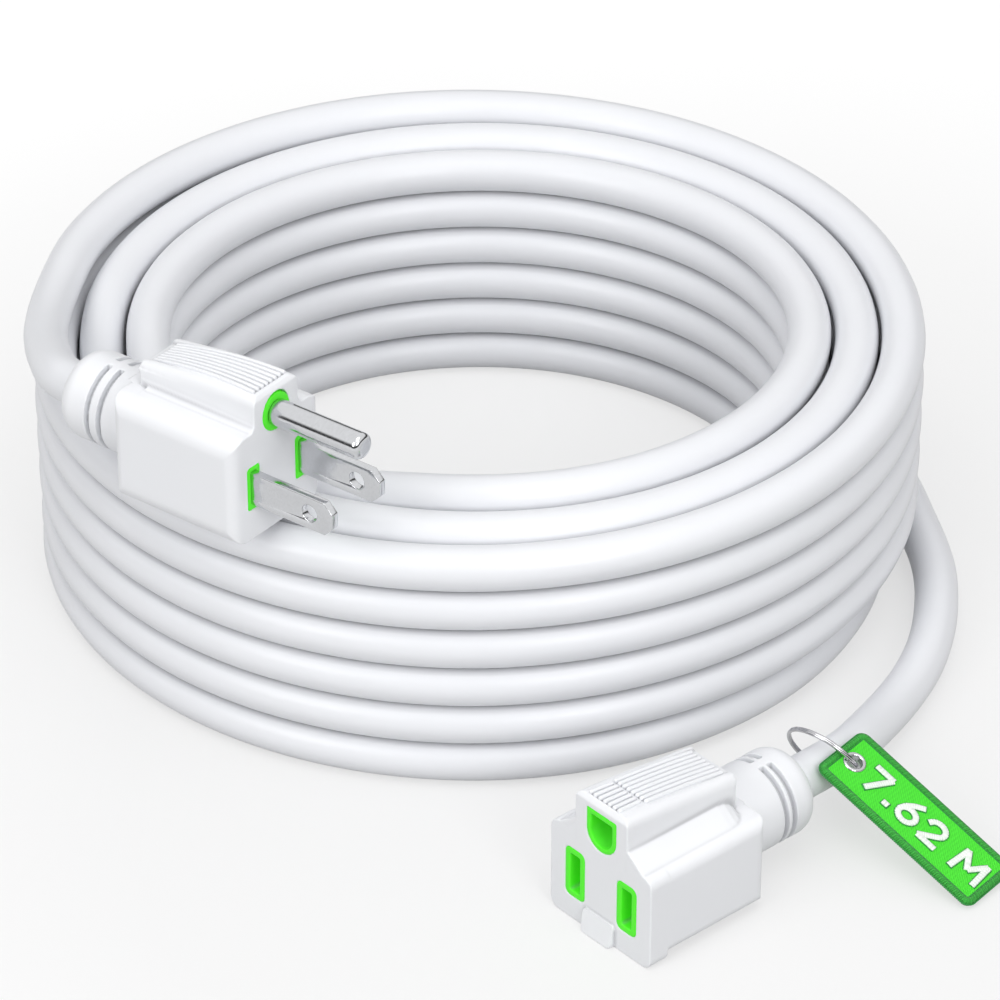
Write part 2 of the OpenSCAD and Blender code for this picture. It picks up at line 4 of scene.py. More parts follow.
import bmesh
import bpy
import numpy
from mathutils import Matrix, Vector, kdtree
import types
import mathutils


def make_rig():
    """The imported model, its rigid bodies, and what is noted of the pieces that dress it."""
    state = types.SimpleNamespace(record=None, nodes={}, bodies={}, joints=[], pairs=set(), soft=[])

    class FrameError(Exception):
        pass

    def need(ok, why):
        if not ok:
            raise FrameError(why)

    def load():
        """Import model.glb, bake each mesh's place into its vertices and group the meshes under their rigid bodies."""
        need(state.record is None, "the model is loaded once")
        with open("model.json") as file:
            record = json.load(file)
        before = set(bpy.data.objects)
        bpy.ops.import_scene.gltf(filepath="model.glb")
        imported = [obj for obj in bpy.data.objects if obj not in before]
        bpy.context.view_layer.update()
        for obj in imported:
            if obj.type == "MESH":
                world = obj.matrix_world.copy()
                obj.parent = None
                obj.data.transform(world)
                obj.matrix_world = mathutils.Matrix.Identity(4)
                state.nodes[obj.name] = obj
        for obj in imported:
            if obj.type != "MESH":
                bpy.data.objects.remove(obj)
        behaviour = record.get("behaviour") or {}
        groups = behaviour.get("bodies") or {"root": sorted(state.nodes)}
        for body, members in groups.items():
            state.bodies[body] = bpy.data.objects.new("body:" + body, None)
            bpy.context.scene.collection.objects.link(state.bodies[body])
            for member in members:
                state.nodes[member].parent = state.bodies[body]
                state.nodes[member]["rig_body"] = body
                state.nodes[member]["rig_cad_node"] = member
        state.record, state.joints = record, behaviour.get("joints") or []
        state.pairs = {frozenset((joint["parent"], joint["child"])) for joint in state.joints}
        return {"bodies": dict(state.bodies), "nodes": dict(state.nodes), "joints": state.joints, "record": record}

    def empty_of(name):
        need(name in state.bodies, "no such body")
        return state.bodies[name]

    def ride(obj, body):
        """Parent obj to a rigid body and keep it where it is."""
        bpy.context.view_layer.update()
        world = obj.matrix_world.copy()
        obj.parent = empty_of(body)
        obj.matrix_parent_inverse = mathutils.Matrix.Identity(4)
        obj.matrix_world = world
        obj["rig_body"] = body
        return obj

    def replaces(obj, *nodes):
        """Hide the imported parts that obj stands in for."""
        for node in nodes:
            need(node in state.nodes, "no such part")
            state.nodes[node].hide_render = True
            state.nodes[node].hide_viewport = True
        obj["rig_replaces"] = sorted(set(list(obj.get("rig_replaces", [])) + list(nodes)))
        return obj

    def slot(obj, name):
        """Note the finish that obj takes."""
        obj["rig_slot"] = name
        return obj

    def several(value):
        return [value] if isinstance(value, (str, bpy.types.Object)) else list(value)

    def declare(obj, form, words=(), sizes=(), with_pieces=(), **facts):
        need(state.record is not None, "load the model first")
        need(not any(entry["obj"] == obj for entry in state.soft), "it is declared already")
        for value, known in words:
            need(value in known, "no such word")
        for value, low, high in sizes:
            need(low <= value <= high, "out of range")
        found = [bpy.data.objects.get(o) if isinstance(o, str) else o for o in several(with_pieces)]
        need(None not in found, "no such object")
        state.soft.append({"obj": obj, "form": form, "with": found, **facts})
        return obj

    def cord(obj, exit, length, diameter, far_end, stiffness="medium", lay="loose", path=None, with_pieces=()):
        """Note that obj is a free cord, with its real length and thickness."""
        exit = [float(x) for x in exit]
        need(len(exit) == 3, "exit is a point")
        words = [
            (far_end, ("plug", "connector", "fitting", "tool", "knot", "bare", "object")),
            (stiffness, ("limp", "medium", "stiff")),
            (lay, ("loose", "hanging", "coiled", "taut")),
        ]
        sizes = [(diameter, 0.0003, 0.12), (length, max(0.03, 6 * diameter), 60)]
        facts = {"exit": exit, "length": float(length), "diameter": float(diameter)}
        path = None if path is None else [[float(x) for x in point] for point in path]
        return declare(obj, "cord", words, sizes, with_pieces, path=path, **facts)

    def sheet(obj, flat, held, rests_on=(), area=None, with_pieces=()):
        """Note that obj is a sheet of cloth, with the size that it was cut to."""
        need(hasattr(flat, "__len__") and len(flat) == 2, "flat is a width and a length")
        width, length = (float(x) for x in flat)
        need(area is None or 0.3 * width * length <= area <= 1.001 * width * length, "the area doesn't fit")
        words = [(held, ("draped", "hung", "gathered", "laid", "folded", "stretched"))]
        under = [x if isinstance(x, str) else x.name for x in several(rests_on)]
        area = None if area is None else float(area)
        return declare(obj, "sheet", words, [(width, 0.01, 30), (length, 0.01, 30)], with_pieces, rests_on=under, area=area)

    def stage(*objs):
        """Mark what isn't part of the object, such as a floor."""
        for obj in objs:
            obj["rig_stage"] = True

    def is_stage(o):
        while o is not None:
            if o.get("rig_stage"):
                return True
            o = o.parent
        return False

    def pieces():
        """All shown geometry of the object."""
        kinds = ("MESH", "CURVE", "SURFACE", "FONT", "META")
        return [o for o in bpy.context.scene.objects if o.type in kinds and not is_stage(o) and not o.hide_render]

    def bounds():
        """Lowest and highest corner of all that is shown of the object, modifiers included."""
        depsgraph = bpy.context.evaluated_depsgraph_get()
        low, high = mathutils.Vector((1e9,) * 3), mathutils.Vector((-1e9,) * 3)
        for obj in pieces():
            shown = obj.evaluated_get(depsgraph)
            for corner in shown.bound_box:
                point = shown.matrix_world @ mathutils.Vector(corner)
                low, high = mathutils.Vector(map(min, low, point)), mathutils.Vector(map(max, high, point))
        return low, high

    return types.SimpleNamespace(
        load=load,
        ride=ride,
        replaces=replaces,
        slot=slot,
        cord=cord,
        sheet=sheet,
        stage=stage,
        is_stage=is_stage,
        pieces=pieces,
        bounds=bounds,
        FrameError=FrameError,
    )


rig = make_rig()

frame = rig.load()
nodes = frame["nodes"]
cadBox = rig.bounds()
scene = bpy.context.scene
scene.view_settings.view_transform = "Standard"
mm = 0.001

camera = {
    "place": (-0.47355, -0.4921, 0.5222),
    "tiltDown": 33.06,
    "heading": -41.17,
    "lens": 182.0,
    "sensor": 36,
    "nearest": 0.01,
}


def addCamera():
    data = bpy.data.cameras.new("camera")
    data.lens = camera["lens"]
    data.sensor_width = camera["sensor"]
    data.clip_start = camera["nearest"]
    eye = bpy.data.objects.new("camera", data)
    eye.location = camera["place"]
    eye.rotation_euler = (math.radians(90 - camera["tiltDown"]), 0, math.radians(camera["heading"]))
    scene.collection.objects.link(eye)
    scene.camera = eye


addCamera()
print("camera placed")


socketKinds = {1: "NodeSocketFloat", 3: "NodeSocketVector", 4: "NodeSocketColor"}


def newGroup(name, inputs, outputs):
    # an input is a number, a vector or a colour, as its value is
    group = bpy.data.node_groups.new(name, "ShaderNodeTree")
    for title, value in inputs.items():
        kind = socketKinds[len(value) if isinstance(value, tuple) else 1]
        socket = group.interface.new_socket(title, in_out="INPUT", socket_type=kind)
        socket.default_value = value
    for title in outputs:
        kind = "NodeSocketColor" if title == "Colour" else "NodeSocketFloat"
        group.interface.new_socket(title, in_out="OUTPUT", socket_type=kind)
    start = group.nodes.new("NodeGroupInput")
    end = group.nodes.new("NodeGroupOutput")
    return group, start, end


def addNode(tree, kind, values=None, **settings):
    node = tree.nodes.new(kind)
    for key, value in settings.items():
        setattr(node, key, value)
    for key, value in (values or {}).items():
        node.inputs[key].default_value = value
    return node


def math2(tree, how, a, b):
    node = addNode(tree, "ShaderNodeMath", operation=how)
    for i, value in enumerate((a, b)):
        if isinstance(value, (int, float)):
            node.inputs[i].default_value = value
        else:
            tree.links.new(value, node.inputs[i])
    return node.outputs[0]


def mixColour(tree, factor, a, b):
    # the colours of a mix node are its inputs 6 and 7 and its output 2
    node = addNode(tree, "ShaderNodeMix", data_type="RGBA")
    for i, value in ((0, factor), (6, a), (7, b)):
        if isinstance(value, (int, float, tuple)):
            node.inputs[i].default_value = value
        else:
            tree.links.new(value, node.inputs[i])
    return node.outputs[2]


def mapRange(tree, value, *limits):
    # limits: from low, from high, to low, to high
    node = addNode(tree, "ShaderNodeMapRange")
    tree.links.new(value, node.inputs[0])
    for i, number in enumerate(limits):
        node.inputs[i + 1].default_value = number
    return node.outputs[0]


skin = {
    "grain": {"Detail": 3.0, "Roughness": 0.6},
    "cloud": {"Detail": 2.0},
    "shadeRange": (0.3, 0.75, 0.0, 0.35),
    "roughRange": (0.3, 0.7, -0.04, 0.05),
}
brushed = {
    "lines": {"Detail": 4.0, "Roughness": 0.65},
    "dullColour": (0.45, 0.45, 0.46, 1),
    "dullRange": (0.25, 0.75, 0.0, 0.25),
    "roughRange": (0.25, 0.75, -0.05, 0.12),
}
weaving = {
    "slant": 0.8,
    "warp": 0.35,
    "weft": 0.65,
    "fuzz": 0.8,
    "weaveShadeRange": (-0.7, 1.3, 0.75, 0.0),
}


def makeMouldedSkin():
    group, start, end = newGroup(
        "mouldedSkin",
        {
            "Colour": (1, 1, 1, 1),
            "Shade": (0.8, 0.8, 0.8, 1),
            "Roughness": 0.4,
            "Grain Scale": 900.0,
            "Cloud Scale": 60.0,
            "Grain Depth": 1.0,
            "Painted Shade": (0.3, 0.3, 0.32, 1),
            "Painted Shade Strength": 0.75,
        },
        ["Colour", "Roughness", "Height"],
    )
    links = group.links
    place = addNode(group, "ShaderNodeTexCoord")
    grain = addNode(group, "ShaderNodeTexNoise", skin["grain"])
    cloud = addNode(group, "ShaderNodeTexNoise", skin["cloud"])
    for texture, scale in ((grain, "Grain Scale"), (cloud, "Cloud Scale")):
        links.new(place.outputs["Object"], texture.inputs["Vector"])
        links.new(start.outputs[scale], texture.inputs["Scale"])
    shade = mapRange(group, cloud.outputs["Fac"], *skin["shadeRange"])
    plain = mixColour(group, shade, start.outputs["Colour"], start.outputs["Shade"])
    # painted shade: the colour darkens towards a grey where the mesh is marked as lying in a crease, in a hollow or
    # against another part
    painted_shade = addNode(group, "ShaderNodeAttribute", attribute_name="painted_shade")
    depth = math2(group, "MULTIPLY", painted_shade.outputs["Fac"], start.outputs["Painted Shade Strength"])
    links.new(mixColour(group, depth, plain, start.outputs["Painted Shade"]), end.inputs["Colour"])
    uneven = mapRange(group, grain.outputs["Fac"], *skin["roughRange"])
    links.new(math2(group, "ADD", start.outputs["Roughness"], uneven), end.inputs["Roughness"])
    height = math2(group, "MULTIPLY", grain.outputs["Fac"], start.outputs["Grain Depth"])
    links.new(height, end.inputs["Height"])
    return group


def makeBrushed():
    group, start, end = newGroup(
        "brushedMetal",
        {
            "Colour": (0.8, 0.8, 0.8, 1),
            "Roughness": 0.2,
            "Stretch": (1.0, 1.0, 1.0),
            "Scale": 400.0,
        },
        ["Colour", "Roughness", "Height"],
    )
    links = group.links
    place = addNode(group, "ShaderNodeTexCoord")
    squeeze = addNode(group, "ShaderNodeVectorMath", operation="MULTIPLY")
    links.new(place.outputs["Object"], squeeze.inputs[0])
    links.new(start.outputs["Stretch"], squeeze.inputs[1])
    lines = addNode(group, "ShaderNodeTexNoise", brushed["lines"])
    links.new(squeeze.outputs[0], lines.inputs["Vector"])
    links.new(start.outputs["Scale"], lines.inputs["Scale"])
    dull = mapRange(group, lines.outputs["Fac"], *brushed["dullRange"])
    colour = mixColour(group, dull, start.outputs["Colour"], brushed["dullColour"])
    links.new(colour, end.inputs["Colour"])
    uneven = mapRange(group, lines.outputs["Fac"], *brushed["roughRange"])
    links.new(math2(group, "ADD", start.outputs["Roughness"], uneven), end.inputs["Roughness"])
    links.new(lines.outputs["Fac"], end.inputs["Height"])
    return group


def makeThreads():
    group, start, end = newGroup(
        "threads",
        {
            "Colour": (0.3, 0.8, 0.2, 1),
            "Weave Shade": (0.1, 0.4, 0.1, 1),
            "Across": 2400.0,
            "Along": 1400.0,
            "Fuzz Scale": 2600.0,
        },
        ["Colour", "Height"],
    )
    links = group.links
    place = addNode(group, "ShaderNodeAttribute", attribute_name="cloth")
    parts = addNode(group, "ShaderNodeSeparateXYZ")
    links.new(place.outputs["Vector"], parts.inputs[0])
    across = math2(group, "MULTIPLY", parts.outputs["X"], start.outputs["Along"])
    warp = math2(group, "SINE", across, 0.0)
    sideways = math2(group, "MULTIPLY", parts.outputs["X"], weaving["slant"])
    diagonal = math2(group, "ADD", parts.outputs["Y"], sideways)
    weft = math2(group, "SINE", math2(group, "MULTIPLY", diagonal, start.outputs["Across"]), 0.0)
    warpShare = math2(group, "MULTIPLY", warp, weaving["warp"])
    weave = math2(group, "ADD", warpShare, math2(group, "MULTIPLY", weft, weaving["weft"]))
    fuzz = addNode(group, "ShaderNodeTexNoise", {"Detail": 4.0})
    objectPlace = addNode(group, "ShaderNodeTexCoord")
    links.new(objectPlace.outputs["Object"], fuzz.inputs["Vector"])
    links.new(start.outputs["Fuzz Scale"], fuzz.inputs["Scale"])
    fuzzShare = math2(group, "MULTIPLY", fuzz.outputs["Fac"], weaving["fuzz"])
    height = math2(group, "ADD", weave, fuzzShare)
    # painted shade: the low places of the weave and the fuzz are coloured darker
    weaveShade = mapRange(group, height, *weaving["weaveShadeRange"])
    colour = mixColour(group, weaveShade, start.outputs["Colour"], start.outputs["Weave Shade"])
    links.new(colour, end.inputs["Colour"])
    links.new(height, end.inputs["Height"])
    return group


mouldedSkin = makeMouldedSkin()
brushedMetal = makeBrushed()
threads = makeThreads()


def finishMaterial(name, group, values, bump, strength, sockets):
    material = bpy.data.materials.new(name)
    material.use_nodes = True
    tree = material.node_tree
    shader = tree.nodes["Principled BSDF"]
    for key, value in sockets.items():
        shader.inputs[key].default_value = value
    effect = addNode(tree, "ShaderNodeGroup")
    effect.node_tree = group
    for key, value in values.items():
        effect.inputs[key].default_value = value
    tree.links.new(effect.outputs["Colour"], shader.inputs["Base Color"])
    if "Roughness" in effect.outputs:
        tree.links.new(effect.outputs["Roughness"], shader.inputs["Roughness"])
    relief = addNode(tree, "ShaderNodeBump", {"Strength": strength, "Distance": bump})
    tree.links.new(effect.outputs["Height"], relief.inputs["Height"])
    tree.links.new(relief.outputs["Normal"], shader.inputs["Normal"])
    return material


def vinyl(name, colour, shade, roughness, grain=1400.0, strength=0.35, shine=0.5, glow=(0, 0, 0)):
    values = {
        "Colour": (*colour, 1),
        "Shade": (*shade, 1),
        "Roughness": roughness,
        "Grain Scale": grain,
    }
    fixed = {
        "Specular IOR Level": shine,
        "IOR": 1.48,
        # a glow here is painted light on a part that is no lamp
        "Emission Color": (*glow, 1),
        "Emission Strength": 1.0,
    }
    return finishMaterial(name, mouldedSkin, values, 0.00002, strength, fixed)


def metal(name, colour, roughness, stretch, scale):
    values = {
        "Colour": (*colour, 1),
        "Roughness": roughness,
        "Stretch": stretch,
        "Scale": scale,
    }
    return finishMaterial(name, brushedMetal, values, 0.00001, 0.25, {"Metallic": 1.0})


def cloth(name, colour, weaveShadeColour, along, across, bump):
    values = {"Colour": (*colour, 1), "Weave Shade": (*weaveShadeColour, 1), "Along": along, "Across": across}
    fixed = {"Roughness": 0.75, "Sheen Weight": 0.12}
    return finishMaterial(name, threads, values, bump, 0.9, fixed)


jacketVinyl = vinyl(
    "jacketVinyl", (0.83, 0.84, 0.87), (0.79, 0.8, 0.83), 0.36, grain=700.0, strength=0.12
)
housingVinyl = vinyl("housingVinyl", (0.86, 0.87, 0.895), (0.83, 0.84, 0.87), 0.4)
# the green plastic glows faintly: painted light that brightens the green inside its slots
greenPlastic = vinyl(
    "greenPlastic", (0.1, 0.86, 0.035), (0.08, 0.78, 0.025), 0.4, shine=0.2, glow=(0.01, 0.1, 0.002)
)
plugMetal = metal("plugMetal", (0.68, 0.69, 0.71), 0.1, (0.35, 1.0, 1.0), 2200.0)
ringMetal = metal("ringMetal", (0.58, 0.58, 0.6), 0.1, (1.0, 1.0, 1.0), 900.0)
contactBrass = metal("contactBrass", (0.8, 0.6, 0.28), 0.28, (1.0, 0.3, 1.0), 1500.0)
leadBlack = vinyl("leadBlack", (0.02, 0.02, 0.022), (0.05, 0.05, 0.05), 0.45)
leadWhite = vinyl("leadWhite", (0.85, 0.85, 0.83), (0.75, 0.75, 0.72), 0.45)
leadGreen = vinyl("leadGreen", (0.03, 0.3, 0.07), (0.02, 0.2, 0.05), 0.45)
tagCloth = cloth("tagCloth", (0.07, 0.8, 0.025), (0.035, 0.62, 0.015), 9000.0, 12000.0, 0.00006)
edgeThread = cloth("edgeThread", (0.04, 0.42, 0.045), (0.01, 0.2, 0.015), 9000.0, 9000.0, 0.00004)
figureThread = cloth("figureThread", (0.9, 0.93, 0.9), (0.6, 0.75, 0.6), 100.0, 11000.0, 0.00008)
outlineThread = cloth(
    "outlineThread", (0.02, 0.3, 0.05), (0.01, 0.15, 0.02), 100.0, 11000.0, 0.00008
)
print("materials made")


def pieceFromMesh(title, verts, faces, material, slot, body, clothPlaces=None):
    mesh = bpy.data.meshes.new(title)
    mesh.from_pydata([tuple(v) for v in verts], [], faces)
    mesh.materials.append(material)
    smoothFaces(mesh)
    if clothPlaces:
        layer = mesh.attributes.new("cloth", "FLOAT_VECTOR", "POINT")
        layer.data.foreach_set("vector", [c for p in clothPlaces for c in p])
    piece = bpy.data.objects.new(title, mesh)
    scene.collection.objects.link(piece)
    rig.ride(piece, body)
    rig.slot(piece, slot)
    return piece


def smoothFaces(mesh):
    mesh.polygons.foreach_set("use_smooth", [True] * len(mesh.polygons))


def sweptTube(path, radius, sides, closed=False):
    # rings carried along a path; the ends are closed with a fan
    verts, faces = [], []
    count = len(path)
    side = None
    for i, place in enumerate(path):
        ahead = path[(i + 1) % count] if closed else path[min(i + 1, count - 1)]
        behind = path[i - 1] if closed or i else path[0]
        along = (ahead - behind).normalized()
        if side is None:
            side = along.orthogonal().normalized()
        side = (side - along * side.dot(along)).normalized()
        up = along.cross(side)
        reach = radius[i] if isinstance(radius, list) else radius
        for k in range(sides):
            a = math.tau * k / sides
            verts.append(place + (side * math.cos(a) + up * math.sin(a)) * reach)
    for i in range(count if closed else count - 1):
        j = (i + 1) % count
        for k in range(sides):
            m = (k + 1) % sides
            faces.append((i * sides + k, i * sides + m, j * sides + m, j * sides + k))
    if not closed:
        faces.append(tuple(reversed(range(sides))))
        faces.append(tuple((count - 1) * sides + k for k in range(sides)))
    return verts, faces


def joinTube(verts, faces, path, radius, sides, closed=False):
    # adds a tube to a mesh in the making and tells how many points it has
    base = len(verts)
    tubeVerts, tubeFaces = sweptTube(path, radius, sides, closed)
    verts += tubeVerts
    faces += [tuple(base + v for v in face) for face in tubeFaces]
    return len(tubeVerts)


def addValues(mesh, title, values):
    layer = mesh.attributes.new(title, "FLOAT", "POINT")
    layer.data.foreach_set("value", numpy.clip(values, 0, 1).astype(numpy.float32))


# routes are in millimetres, turns in degrees and the coil's heights in cord diameters; the real
# length and the exit are in metres
cordSizes = {
    "diameter": 8.0,
    "sides": 24,
    "realLength": 7.62,
    "exit": (0.0224, 0, 0.0108),
    "step": 2.2,
    "relaxRounds": 8,
    # how far and how steeply the painted contact shade on the jacket reaches
    "shadeReach": 1.5,
    "shadePower": 1.6,
    "neighbours": 12,  # steps along the cord that count as the same place
    "freeRoute": [
        (22.4, 0, 10.8), (30.4, 0, 10.8), (37, 1, 10), (45, 4.8, 7.6), (54, 8.8, 5.4),
        (63, 12.6, 4.2), (73, 17.5, 4), (83, 24.6, 4), (91.5, 32.6, 4), (97.2, 39.3, 4),
    ],
    "plugRoute": [
        (-12, 159.1, 49.9), (-17.6, 153.5, 50.6), (-22.9, 147.4, 51.7), (-27.4, 140.8, 53.3),
        (-31.4, 133.9, 55.3), (-35.1, 127.2, 57.5), (-36.8, 122.8, 58.9),
    ],
}
coil = {
    # the cord runs in along the floor, climbs the inner column of loops, comes down the middle
    # one and climbs the outer one
    "middle": (44.4, 106.0),
    "outerRadius": 77.5,
    "column": 8.5,
    "startTurn": -40.9,
    "end": 6285,
    "step": 5,
    "floorLevel": 0.5,
    "turnsIn": 582,
    "reachesInner": 645,
    "leavesInner": 2706,
    "reachesMiddle": 2756,
    "leavesMiddle": 4442,
    "reachesOuter": 4508,
    "climbsOuter": 4530,
    "inward": [
        (0, 0.4), (15, 0.13), (30, 0), (285, 0), (315, -0.15), (330, -0.3), (345, -0.5),
        (360, -0.7), (375, -0.92), (390, -1),
    ],
    "lift": [(270, 0), (315, 0.12), (330, 0.18), (360, 0.16), (390, 0.03), (405, 0)],
    "handOver": [(4458, 1.48), (4475, 1.42), (4508, 1.4)],
}
innerLoops = {"first": 567, "climb": 55, "levels": 5, "pitch": 1.035, "sway": 0.039}
middleLoops = {"top": 5.62, "pitch": 1.0175, "drop": 33, "drops": (3052, 3412, 3772, 4132)}
outerLoops = {
    "lag": 210,
    "start": 0.969,
    "east": 0.992,
    "west": 0.98,
    "extra": 0.79,
    "settle": 0.03,
}
plug = {
    "face": (-27.8, 74.7),
    "turn": 101.7,
    "axisUp": 0.2,
    "bodyLength": 43.5,
    "underside": 10.44,
    "cordEnds": (1.6, -3),
}
coilTop = middleLoops["top"] * cordSizes["diameter"] + cordSizes["diameter"] / 2
plugLevel = coilTop + plug["underside"]


def ease(t):
    u = min(1.0, max(0.0, t))
    return u * u * (3 - 2 * u)


def lookup(a, table):
    if a <= table[0][0]:
        return table[0][1]
    for (x0, y0), (x1, y1) in zip(table, table[1:]):
        if a <= x1:
            return y0 + (y1 - y0) * (a - x0) / (x1 - x0)
    return table[-1][1]


def innerHeight(level, a):
    sway = innerLoops["sway"] * math.sin(math.radians(a))
    return coil["floorLevel"] + level * (innerLoops["pitch"] - sway)


def innerLevel(a):
    since = a - innerLoops["first"]
    n = math.floor(since / 360)
    climbed = n - 1 + ease((since - 360 * n) / innerLoops["climb"])
    return 0 if n < 1 else min(innerLoops["levels"], climbed)


def middleHeight(a):
    down = sum(ease((a - start) / middleLoops["drop"]) for start in middleLoops["drops"])
    return middleLoops["top"] - middleLoops["pitch"] * down


def outerHeight(a):
    lag = outerLoops["lag"]
    since = a - coil["climbsOuter"]
    loop = 1 + math.floor(since / 360)
    spot = since + lag - 360 * (loop - 1)
    west = outerLoops["west"] * loop + outerLoops["extra"] + outerLoops["settle"] * (5 - loop)
    rise = [
        (lag, outerLoops["start"] * loop),
        (270, outerLoops["east"] * loop),
        (525, west - outerLoops["settle"]),
        (540, west),
        (570, outerLoops["start"] * (loop + 1)),
    ]
    return coil["floorLevel"] + lookup(spot, rise)


def between(a, first, last):
    return ease((a - coil[first]) / (coil[last] - coil[first]))


def coilRoute(a):
    # distance from the coil's middle, and height, at a turn of the cord
    column = coil["column"]
    outer = coil["outerRadius"]
    middle = outer - column
    inner = middle - column
    floorLevel = coil["floorLevel"]
    if a <= coil["turnsIn"]:
        return outer + column * lookup(a, coil["inward"]), floorLevel + lookup(a, coil["lift"])
    if a <= coil["reachesInner"]:
        return middle - column * between(a, "turnsIn", "reachesInner"), floorLevel
    if a <= coil["leavesInner"]:
        return inner, innerHeight(innerLevel(a), a)
    if a <= coil["reachesMiddle"]:
        t = between(a, "leavesInner", "reachesMiddle")
        low = innerHeight(innerLoops["levels"], a)
        return inner + column * t, low * (1 - t) + middleLoops["top"] * t
    leave = coil["leavesMiddle"]
    if a <= leave:
        return middle, middleHeight(a)
    handOver = coil["handOver"]
    if a <= coil["reachesOuter"]:
        t = between(a, "leavesMiddle", "reachesOuter")
        return middle + column * t, lookup(a, [(leave, middleHeight(leave)), *handOver])
    if a < coil["climbsOuter"]:
        first = (coil["climbsOuter"], floorLevel + outerLoops["start"])
        return outer, lookup(a, [handOver[-1], first])
    return outer, outerHeight(a)


def coilPoint(a):
    radius, height = coilRoute(a)
    turn = math.radians(a + coil["startTurn"])
    x, y = coil["middle"]
    up = height * cordSizes["diameter"]
    return Vector((x + radius * math.cos(turn), y + radius * math.sin(turn), up))


def plugPoint(back, aside, up):
    turn = math.radians(plug["turn"])
    x = plug["face"][0] + back * math.cos(turn) - aside * math.sin(turn)
    y = plug["face"][1] + back * math.sin(turn) + aside * math.cos(turn)
    return Vector((x, y, plugLevel + up))


def smoothLine(points, gap):
    # a line through every point, with round bends, cut into short steps
    line = []
    for i in range(len(points) - 1):
        p0 = points[max(i - 1, 0)]
        p1, p2 = points[i], points[i + 1]
        p3 = points[min(i + 2, len(points) - 1)]
        reach = (p2 - p1).length
        m1 = (p2 - p0) * (reach / (p2 - p0).length)
        m2 = (p3 - p1) * (reach / (p3 - p1).length)
        steps = max(1, round(reach / gap))
        for k in range(steps):
            t = k / steps
            h = (2 * t**3 - 3 * t**2 + 1, t**3 - 2 * t**2 + t, 3 * t**2 - 2 * t**3, t**3 - t**2)
            line.append(p1 * h[0] + m1 * h[1] + p2 * h[2] + m2 * h[3])
    line.append(points[-1])
    return line


def relax(line, rounds):
    for _ in range(rounds):
        inner = [(a + b * 2 + c) / 4 for a, b, c in zip(line, line[1:], line[2:])]
        line = [line[0], *inner, line[-1]]
    return line


def cordLine():
    points = [Vector(p) for p in cordSizes["freeRoute"]]
    points += [coilPoint(a) for a in range(0, coil["end"] + 1, coil["step"])]
    points += [Vector(p) for p in cordSizes["plugRoute"]]
    points += [plugPoint(plug["bodyLength"] + back, 0, plug["axisUp"]) for back in plug["cordEnds"]]
    return relax(smoothLine(points, cordSizes["step"]), cordSizes["relaxRounds"])


def paintedContactShade(line, verts, sides):
    # how close each place on the jacket lies to another loop or to the floor, which sets the painted shade where they
    # touch
    radius = cordSizes["diameter"] / 2
    reach = cordSizes["shadeReach"]
    tree = kdtree.KDTree(len(line))
    for i, place in enumerate(line):
        tree.insert(place, i)
    tree.balance()
    values = []
    for n, vert in enumerate(verts):
        own = n // sides
        place = vert / mm
        gap = min(reach, place.z)
        for _, other, far in tree.find_range(place, radius + reach):
            if abs(other - own) > cordSizes["neighbours"]:
                gap = min(gap, max(0.0, far - radius))
        values.append((1 - gap / reach) ** cordSizes["shadePower"])
    return values


def addCord():
    line = cordLine()
    sides = cordSizes["sides"]
    path = [place * mm for place in line]
    verts, faces = sweptTube(path, cordSizes["diameter"] / 2 * mm, sides)
    cord = pieceFromMesh("cord", verts, faces, jacketVinyl, "jacket", "cord_set")
    # painted shade where the loops touch each other and the floor
    addValues(cord.data, "painted_shade", paintedContactShade(line, verts, sides))
    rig.replaces(cord, "cord_free_end", "cord_coil", "cord_plug_end")
    length = sum((b - a).length for a, b in zip(path, path[1:]))
    print("cord laid,", round(length, 3), "m, in", len(line), "points")
    return cord, [tuple(place) for place in path]


cord, cordPath = addCord()

ribs = {
    "radius": 0.42,
    "rise": 0.2,
    "sides": 12,
    "ends": (0, 0.08, 0.2, 0.4),
    "steps": 8,
    "tip": (0.4, 2.2, 0.7),  # share of the radius at the tip, and how it grows
}
housings = {
    # place of the face and turn; the ridge's top line as height, slope and bend; its half width
    # and rear end; what the node has instead, as height, slope, rear end and its lean; rows of
    # ribs as first and last place, count, pitch, how far they draw together and sit aside
    "connector": {
        "place": (-21.1, 0, 0),
        "turn": 0,
        "top": (27.35, 0.06, 0.0026),
        "shoulder": 18.5,
        "halfWidth": 6.4,
        "rearEnd": 24.9,
        "made": (27.3, 0.1535, 22.5, 0.36),
        "rows": [(0.8, 5.9, 7, 1.17, 0.95, 0.3), (6.3, 24.0, 8, 1.07, 1, 0.1)],
    },
    "plug": {
        "place": (*plug["face"], plugLevel),
        "turn": plug["turn"],
        "top": (16.8, -0.05, 0.0061),
        "shoulder": 10.6,
        "halfWidth": 5.85,
        "rearEnd": 25.4,
        "made": (16.3, 0.118, 23.0, 0.45),
        "rows": [(1.3, 24.2, 8, 1.15, 0.73, 0)],
    },
}
rearBend = {"length": 8, "slack": 0.08}  # the stretch of a ridge that moves with its rear end
